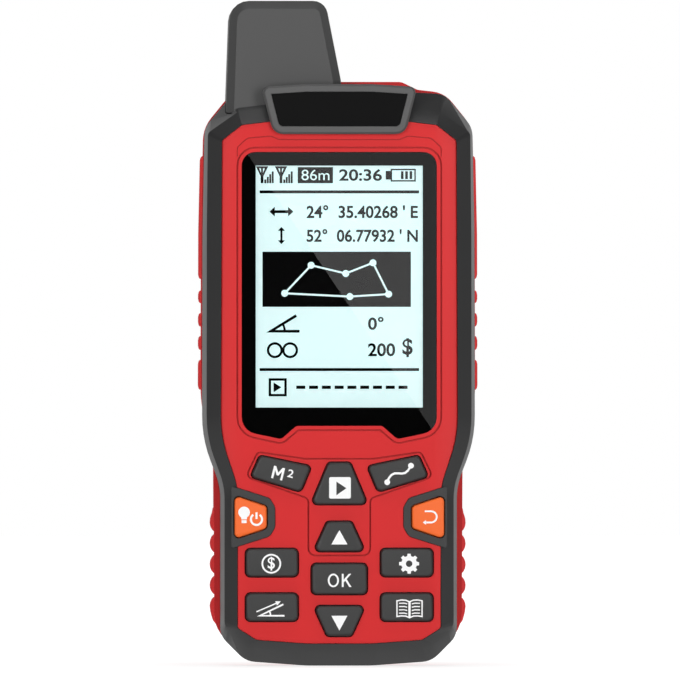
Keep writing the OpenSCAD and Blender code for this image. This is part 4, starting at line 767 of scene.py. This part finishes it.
ribbon.links.new(ribbon_lines.outputs["Fac"], ribbon_mix.inputs["Factor"])
ribbon.links.new(ribbon_in.outputs["Film"], ribbon_mix.inputs["A"])
ribbon.links.new(ribbon_in.outputs["Copper"], ribbon_mix.inputs["B"])
ribbon.links.new(ribbon_mix.outputs["Result"], ribbon_out.inputs["Colour"])
ribbon.links.new(ribbon_lines.outputs["Fac"], ribbon_out.inputs["Height"])
amber_film, film_tree, film_shader = new_material("amber_film", (0.55, 0.26, 0.05), 0.3)
film_rows = place_group(film_tree, ribbon)
film_tree.links.new(film_rows.outputs["Colour"], film_shader.inputs["Base Color"])
film_relief = add(film_tree, "ShaderNodeBump", Strength=0.4, Distance=0.02 * MM)
film_tree.links.new(film_rows.outputs["Height"], film_relief.inputs["Height"])
film_tree.links.new(film_relief.outputs["Normal"], film_shader.inputs["Normal"])
dress("display_cable", amber_film)


# Keys
# Twelve silicone rubber keys on one mat, ten charcoal and two orange, with rounded edges. Their signs are
# printed on top in white ink, which stands a few hundredths of a millimetre proud.
KEY_TOP = -16.3
SIGN_THICK = 0.04
# The ink reaches a little into the key, and each drawing of a sign lies a hair over the one before it
SIGN_SUNK = 0.01
DRAWING_STEP = 0.004
key_rubber = moulded("key_rubber", (0.017, 0.017, 0.0168), 0.5, wear_amount=0.3, groove_shade=0.5)
orange_rubber = moulded("orange_rubber", (0.9, 0.145, 0.02), 0.5, wear_amount=0.2, shine=0.3)
CHARCOAL_KEYS = ["key_area", "key_start", "key_distance", "key_up", "key_ok", "key_down", "key_price",
                 "key_settings", "key_slope", "key_records"]
ORANGE_KEYS = ["key_power", "key_back"]
KEY_SHARPEST = 50
for name in CHARCOAL_KEYS:
    dress(name, key_rubber, sharpest=KEY_SHARPEST)
for name in ORANGE_KEYS:
    dress(name, orange_rubber, sharpest=KEY_SHARPEST)

sign_white = moulded("sign_white", (0.92, 0.92, 0.92), 0.55, pit=0.12, pit_depth=0.001, cloud=0.03,
                     wear_amount=0)


def sign(key, drawings, words=()):
    """The white sign on a key: drawn outlines and figures, each (text, centre, height, width, tilt)."""
    face = KEY_TOP - SIGN_THICK
    thick = SIGN_THICK + SIGN_SUNK
    shapes = [plate(outlines, face - DRAWING_STEP * step, thick) for step, outlines in enumerate(drawings)]
    for text, centre, height, width, tilt in words:
        shapes.append(figures(text, centre, height, width, face, thick, tilt, weight=0.02))
    piece = printed(key.replace("key", "sign"), shapes, sign_white, key)


def turned(points, centre, degrees):
    """Points round a centre, turned clockwise and moved to it."""
    spin = Matrix.Rotation(math.radians(-degrees), 2)
    return [spin @ Vector(p) + Vector(centre) for p in points]


# The letter and figure of square metres, and a path from one dot to another
METRE, SQUARE = (-14.86, 46.82), (-11.81, 46.7)
metre = turned([(-1.38, -1.53), (-1.38, 1.53), (-0.8, 1.53), (0, 0.1), (0.8, 1.53), (1.38, 1.53),
                (1.38, -1.53), (0.85, -1.53), (0.85, 0.55), (0.22, -0.6), (-0.22, -0.6), (-0.85, 0.55),
                (-0.85, -1.53)], METRE, 14)
sign("key_area", [[metre]], [("2", SQUARE, 1.95, 1.4, -14)])
PATH_START, PATH_END = (11.6, 44.6), (17.35, 48.6)
PATH_DOT = 0.7
path = [PATH_START, (12.0, 45.6), (12.6, 46.35), (13.4, 46.75), (14.3, 46.75), (15.1, 46.7), (15.9, 46.85),
        (16.6, 47.4), (17.0, 48.0), PATH_END]
sign("key_distance", [band(path, 0.52), [disc(PATH_START, PATH_DOT)], [disc(PATH_END, PATH_DOT)]])

# Start: a square with rounded corners and a triangle left bare in it
START_ROUND = 0.4
start_square = rounded([(x, z, START_ROUND) for x, z in box_at(-2.48, 2.77, 40.63, 45.84)])
start_triangle = [(-0.73, 41.43), (1.7, 43.15), (-0.73, 44.79)]
sign("key_start", [[start_square, start_triangle]])

# Light and power on the left side key, and a bent arrow on the right one
bulb = arc((-23.1, 37.3), 1.4, -60, 240) + [(-23.75, 35.6), (-22.45, 35.6)]
bulb_cap = box_at(-23.7, -22.5, 34.7, 35.4)
power_ring = band(arc((-20.1, 35.6), 1.35, 125, 415), 0.5)
power_bar = box_at(-20.35, -19.85, 35.7, 37.3)
sign("key_power", [[bulb], [bulb_cap], power_ring, [power_bar]])
back_hook = band([(20.7, 37.55)] + arc((22.25, 36.2), 1.35, 90, -90, 12) + [(21.0, 34.85)], 0.42)
back_head = [(20.2, 34.85), (21.0, 34.3), (21.0, 35.4)]
sign("key_back", [back_hook, [back_head]])

# Up, OK and down on the three keys in the middle
LETTER_O = (-1.46, 20.8)
letter_k = [(0.58, 19.2), (1.04, 19.2), (1.04, 20.3), (1.42, 20.75), (2.38, 19.2), (2.94, 19.2), (1.75, 21.1),
            (2.86, 22.4), (2.28, 22.4), (1.04, 20.95), (1.04, 22.4), (0.58, 22.4)]
sign("key_up", [[[(-1.97, 29.51), (1.97, 29.51), (0, 33.0)]]])
sign("key_ok", [[oval(LETTER_O, 1.36, 1.65), oval(LETTER_O, 0.91, 1.23)], [letter_k]])
sign("key_down", [[[(-1.95, 12.24), (0, 8.66), (1.95, 12.24)]]])

# A coin for the price, and a gear for the settings
COIN = (-16.5, 24.85)
sign("key_price", [[disc(COIN, 2.4), disc(COIN, 1.97)]], [("$", COIN, 3.3, 1.75, 0)])
GEAR = (16.9, 24.85)
GEAR_ROOT, GEAR_TIP, GEAR_BORE = 1.9, 2.45, 0.78
GEAR_TEETH = 8
gear = []
for tooth in range(GEAR_TEETH):
    turn = 360 / GEAR_TEETH * tooth
    for angle, radius in ((-14, GEAR_ROOT), (-9, GEAR_TIP), (9, GEAR_TIP), (14, GEAR_ROOT)):
        gear.append(polar(GEAR, radius, turn + angle))
sign("key_settings", [[gear, disc(GEAR, GEAR_BORE)]])

# A slope with its angle under an arrow, and an open book with four lines on each page
SLOPE_CORNER = (-19.3, 12.25)
slope_shaft = band([(-20.1, 13.2), (-15.2, 15.3)], 0.3)
slope_head = [(-14.2, 15.75), (-15.55, 15.75), (-15.1, 14.7)]
slope_sides = band([(-13.6, 15.0), SLOPE_CORNER, (-13.3, 12.25)], 0.45)
slope_angle = band(arc(SLOPE_CORNER, 2.6, 3, 23, 6), 0.35)
sign("key_slope", [slope_shaft, [slope_head], slope_sides, slope_angle])
BOOK = (17.0, 13.9)
PAGE = ((0.12, -2.1), (0.9, -1.75), (2.0, -1.7), (3.05, -1.85), (3.05, 1.95), (2.0, 2.15), (0.9, 2.1),
        (0.12, 1.75))
PAGE_LINES = 4
LINE_LOWEST, LINE_PITCH = -1.1, 0.8
book = []
for side in (-1, 1):
    page = [(BOOK[0] + side * x, BOOK[1] + z) for x, z in PAGE]
    book.append(band(page, 0.32, closed=True))
    for row in range(PAGE_LINES):
        low = BOOK[1] + LINE_LOWEST + LINE_PITCH * row
        book.append(band([(BOOK[0] + side * 0.55, low - 0.1), (BOOK[0] + side * 1.3, low + 0.08),
                          (BOOK[0] + side * 2.55, low + 0.05)], 0.28))
sign("key_records", book)


# Keypad mat
# A grey mat under the keys, moulded in one piece of silicone rubber. It stands on the board by its rim,
# and each key's stem goes through it down to a gold plated contact on the board.
mat_rubber = moulded("mat_rubber", (0.06, 0.06, 0.065), 0.65, pit=0.4, wear_amount=0.2, shine=0.4)
dress("keypad_mat", mat_rubber)


# Main board
# A green board behind the display, screwed to posts of the front case. The receiver sits on its back
# under a pressed steel shield, with the chips and the sounder below it.
BOARD_GREEN = (0.02, 0.13, 0.05)

# Copper under the green mask: tracks in rows, and tinned dots where they pass through
tracks, tracks_in, tracks_out = new_group(
    "board_tracks",
    [("Mask", "NodeSocketColor", (*BOARD_GREEN, 1)), ("Track", "NodeSocketColor", (0.06, 0.26, 0.1, 1)),
     ("Pitch", "NodeSocketFloat", 1.2)],
    [("Colour", "NodeSocketColor"), ("Tinned", "NodeSocketFloat"), ("Height", "NodeSocketFloat")])
tracks_place = add(tracks, "ShaderNodeTexCoord")
tracks_density = add(tracks, "ShaderNodeMath", operation="DIVIDE")
tracks_density.inputs[0].default_value = 1000.0
tracks.links.new(tracks_in.outputs["Pitch"], tracks_density.inputs[1])
tracks_stand = add(tracks, "ShaderNodeMapping")
tracks_stand.inputs["Rotation"].default_value = (math.radians(90), 0, 0)
tracks.links.new(tracks_place.outputs["Object"], tracks_stand.inputs["Vector"])
tracks_rows = add(tracks, "ShaderNodeTexBrick", Mortar_Size=0.06, Brick_Width=2.6, Row_Height=0.6)
tracks.links.new(tracks_stand.outputs["Vector"], tracks_rows.inputs["Vector"])
tracks.links.new(tracks_density.outputs[0], tracks_rows.inputs["Scale"])
tracks.links.new(tracks_in.outputs["Mask"], tracks_rows.inputs["Color1"])
tracks.links.new(tracks_in.outputs["Mask"], tracks_rows.inputs["Color2"])
tracks.links.new(tracks_in.outputs["Track"], tracks_rows.inputs["Mortar"])
tracks_dots = add(tracks, "ShaderNodeTexVoronoi", feature="F1", Randomness=0.8)
tracks.links.new(tracks_place.outputs["Object"], tracks_dots.inputs["Vector"])
tracks.links.new(tracks_density.outputs[0], tracks_dots.inputs["Scale"])
tracks_dot = add(tracks, "ShaderNodeMath", operation="LESS_THAN")
tracks_dot.inputs[1].default_value = 0.13
tracks.links.new(tracks_dots.outputs["Distance"], tracks_dot.inputs[0])
tracks_mix = add(tracks, "ShaderNodeMix", data_type="RGBA")
tracks.links.new(tracks_dot.outputs[0], tracks_mix.inputs["Factor"])
tracks.links.new(tracks_rows.outputs["Color"], tracks_mix.inputs["A"])
tracks_mix.inputs["B"].default_value = (0.7, 0.66, 0.55, 1)
tracks.links.new(tracks_mix.outputs["Result"], tracks_out.inputs["Colour"])
tracks.links.new(tracks_dot.outputs[0], tracks_out.inputs["Tinned"])
tracks.links.new(tracks_rows.outputs["Fac"], tracks_out.inputs["Height"])
board_green, board_tree, board_shader = new_material("board_green", BOARD_GREEN, 0.32)
board_rows = place_group(board_tree, tracks)
board_tree.links.new(board_rows.outputs["Colour"], board_shader.inputs["Base Color"])
board_tree.links.new(board_rows.outputs["Tinned"], board_shader.inputs["Metallic"])
board_relief = add(board_tree, "ShaderNodeBump", Strength=0.5, Distance=0.03 * MM)
board_tree.links.new(board_rows.outputs["Height"], board_relief.inputs["Height"])
board_tree.links.new(board_relief.outputs["Normal"], board_shader.inputs["Normal"])
dress("main_board", board_green)

# Rolled or turned metal: fine streaks in its colour and gloss
metal, metal_in, metal_out = new_group(
    "metal_streaks",
    [("Colour", "NodeSocketColor", (0.6, 0.6, 0.62, 1)), ("Roughness", "NodeSocketFloat", 0.3),
     ("Streaks", "NodeSocketFloat", 0.25)],
    [("Colour", "NodeSocketColor"), ("Roughness", "NodeSocketFloat"), ("Height", "NodeSocketFloat")])
metal_place = add(metal, "ShaderNodeTexCoord")
metal_stretch = add(metal, "ShaderNodeMapping")
metal_stretch.inputs["Scale"].default_value = (400, 3000, 9000)
metal.links.new(metal_place.outputs["Object"], metal_stretch.inputs["Vector"])
metal_lines = add(metal, "ShaderNodeTexNoise", Scale=1.0, Detail=3.0)
metal.links.new(metal_stretch.outputs["Vector"], metal_lines.inputs["Vector"])
metal_centre = add(metal, "ShaderNodeMath", operation="SUBTRACT")
metal_centre.inputs[1].default_value = 0.5
metal.links.new(metal_lines.outputs["Fac"], metal_centre.inputs[0])
metal_depth = add(metal, "ShaderNodeMath", operation="MULTIPLY")
metal.links.new(metal_centre.outputs[0], metal_depth.inputs[0])
metal.links.new(metal_in.outputs["Streaks"], metal_depth.inputs[1])
metal_level = add(metal, "ShaderNodeMath", operation="ADD")
metal_level.inputs[1].default_value = 1.0
metal.links.new(metal_depth.outputs[0], metal_level.inputs[0])
metal_tint = add(metal, "ShaderNodeVectorMath", operation="SCALE")
metal.links.new(metal_in.outputs["Colour"], metal_tint.inputs[0])
metal.links.new(metal_level.outputs[0], metal_tint.inputs["Scale"])
metal.links.new(metal_tint.outputs["Vector"], metal_out.inputs["Colour"])
metal_gloss = add(metal, "ShaderNodeMath", operation="ADD", use_clamp=True)
metal.links.new(metal_in.outputs["Roughness"], metal_gloss.inputs[0])
metal.links.new(metal_depth.outputs[0], metal_gloss.inputs[1])
metal.links.new(metal_gloss.outputs[0], metal_out.inputs["Roughness"])
metal.links.new(metal_lines.outputs["Fac"], metal_out.inputs["Height"])


def metallic(name, colour, roughness, streaks=0.25):
    """A plated or rolled metal with its fine streaks."""
    material, tree, shader = new_material(name, colour, roughness, 1.0)
    skin = place_group(tree, metal, Colour=(*colour, 1), Roughness=roughness, Streaks=streaks)
    tree.links.new(skin.outputs["Colour"], shader.inputs["Base Color"])
    tree.links.new(skin.outputs["Roughness"], shader.inputs["Roughness"])
    lines = add(tree, "ShaderNodeBump", Strength=0.3, Distance=0.002 * MM)
    tree.links.new(skin.outputs["Height"], lines.inputs["Height"])
    tree.links.new(lines.outputs["Normal"], shader.inputs["Normal"])
    return material


gold = metallic("gold_plate", (0.85, 0.62, 0.25), 0.28)
dress("contact_pads", gold)
dress("shield_can", metallic("shield_steel", (0.62, 0.62, 0.6), 0.35))
dress("board_chips", moulded("chip_epoxy", (0.02, 0.02, 0.021), 0.55, pit=0.15, wear_amount=0))
dress("buzzer", moulded("sounder_black", (0.025, 0.025, 0.025), 0.4, pit=0.3, wear_amount=0.2))
zinc_steel = metallic("zinc_steel", (0.66, 0.67, 0.7), 0.3, 0.15)
dress("board_screws", zinc_steel)


# Charging socket
# A small board behind the top edge carries the pressed steel shell of the socket. An amber flat cable
# runs from it down to the main board.
dress("charge_board", board_green)
dress("usb_socket", metallic("socket_steel", (0.7, 0.7, 0.72), 0.25, 0.1))
dress("charge_cable", amber_film)


# Antenna
# A hollow black stub behind the left shoulder, closed by a plug and screwed on from inside the case. Its
# board stands in the plug and carries the fired ceramic patch that hears the satellites.
antenna_black = moulded("antenna_black", (0.047, 0.047, 0.047), 0.5, pit=0.35, pit_depth=0.008)
dress("antenna_cover", antenna_black, 0.3)
dress("antenna_base", antenna_black)
dress("antenna_board", board_green)
patch_ceramic = moulded("patch_ceramic", (0.62, 0.55, 0.42), 0.45, pit=0.12, pit_depth=0.004, cloud=0.2,
                        wear_amount=0.4)
dress("patch_antenna", patch_ceramic)
dress("antenna_lead", moulded("lead_jacket", (0.015, 0.015, 0.015), 0.35, pit=0.8, wear_amount=0))
dress("antenna_screws", zinc_steel)


# Case seal
# A black silicone cord, laid in a groove round the rim and squeezed between the two halves of the
# case when their screws are drawn up.
dress("case_seal", moulded("seal_silicone", (0.02, 0.02, 0.02), 0.6, pit=0.5, wear_amount=0))


# Rear case
# The deep red half that closes the meter from behind, moulded in the same plastic as the front, with ribs
# and grips at its sides. Six steel screws from behind hold it.
# Its red is painted lighter than the front case's red: painted light for the ribs and grips, which sit back
# from the lamps
dress("rear_case", moulded("rear_red_painted_lighter", (0.74, 0.03, 0.032), 0.5, shine=0.3), 0.15)
dress("case_screws", zinc_steel)


# Strap lug
# A black nylon block at the foot of the back, pressed into its pocket in the rear case. The upright hole
# through it is the eye for a wrist strap.
dress("strap_lug", moulded("lug_black", (0.03, 0.03, 0.03), 0.4), 0.2)


# Flap
# A black lid of soft rubber that keeps dust out of the charging socket. It turns on a thin steel pin
# behind it, whose two ends sit in the case.
flap_rubber = moulded("flap_rubber", (0.03, 0.03, 0.032), 0.62, pit=0.4, wear_amount=0.3)
dress("usb_flap", flap_rubber, 0.15)
dress("flap_pin", zinc_steel)


# Battery and its door
# A round lithium cell in a blue sleeve, between two sprung plated strips. The red door over it lies on a
# silicone ring, and two coin screws hold it.
dress("battery_cell", moulded("cell_sleeve", (0.02, 0.1, 0.3), 0.25, pit=1.2, pit_depth=0.01, wear_amount=0))
dress("battery_contacts", gold)
# The door takes the rear case's red, painted lighter than the front's
dress("battery_door", moulded("door_red_painted_lighter", (0.74, 0.03, 0.032), 0.5, shine=0.3, groove_shade=0.6))
dress("door_seal", moulded("door_silicone", (0.03, 0.03, 0.03), 0.6, pit=0.5, wear_amount=0))
for name in ["door_screw_low", "door_screw_high"]:
    dress(name, zinc_steel, 0.1)
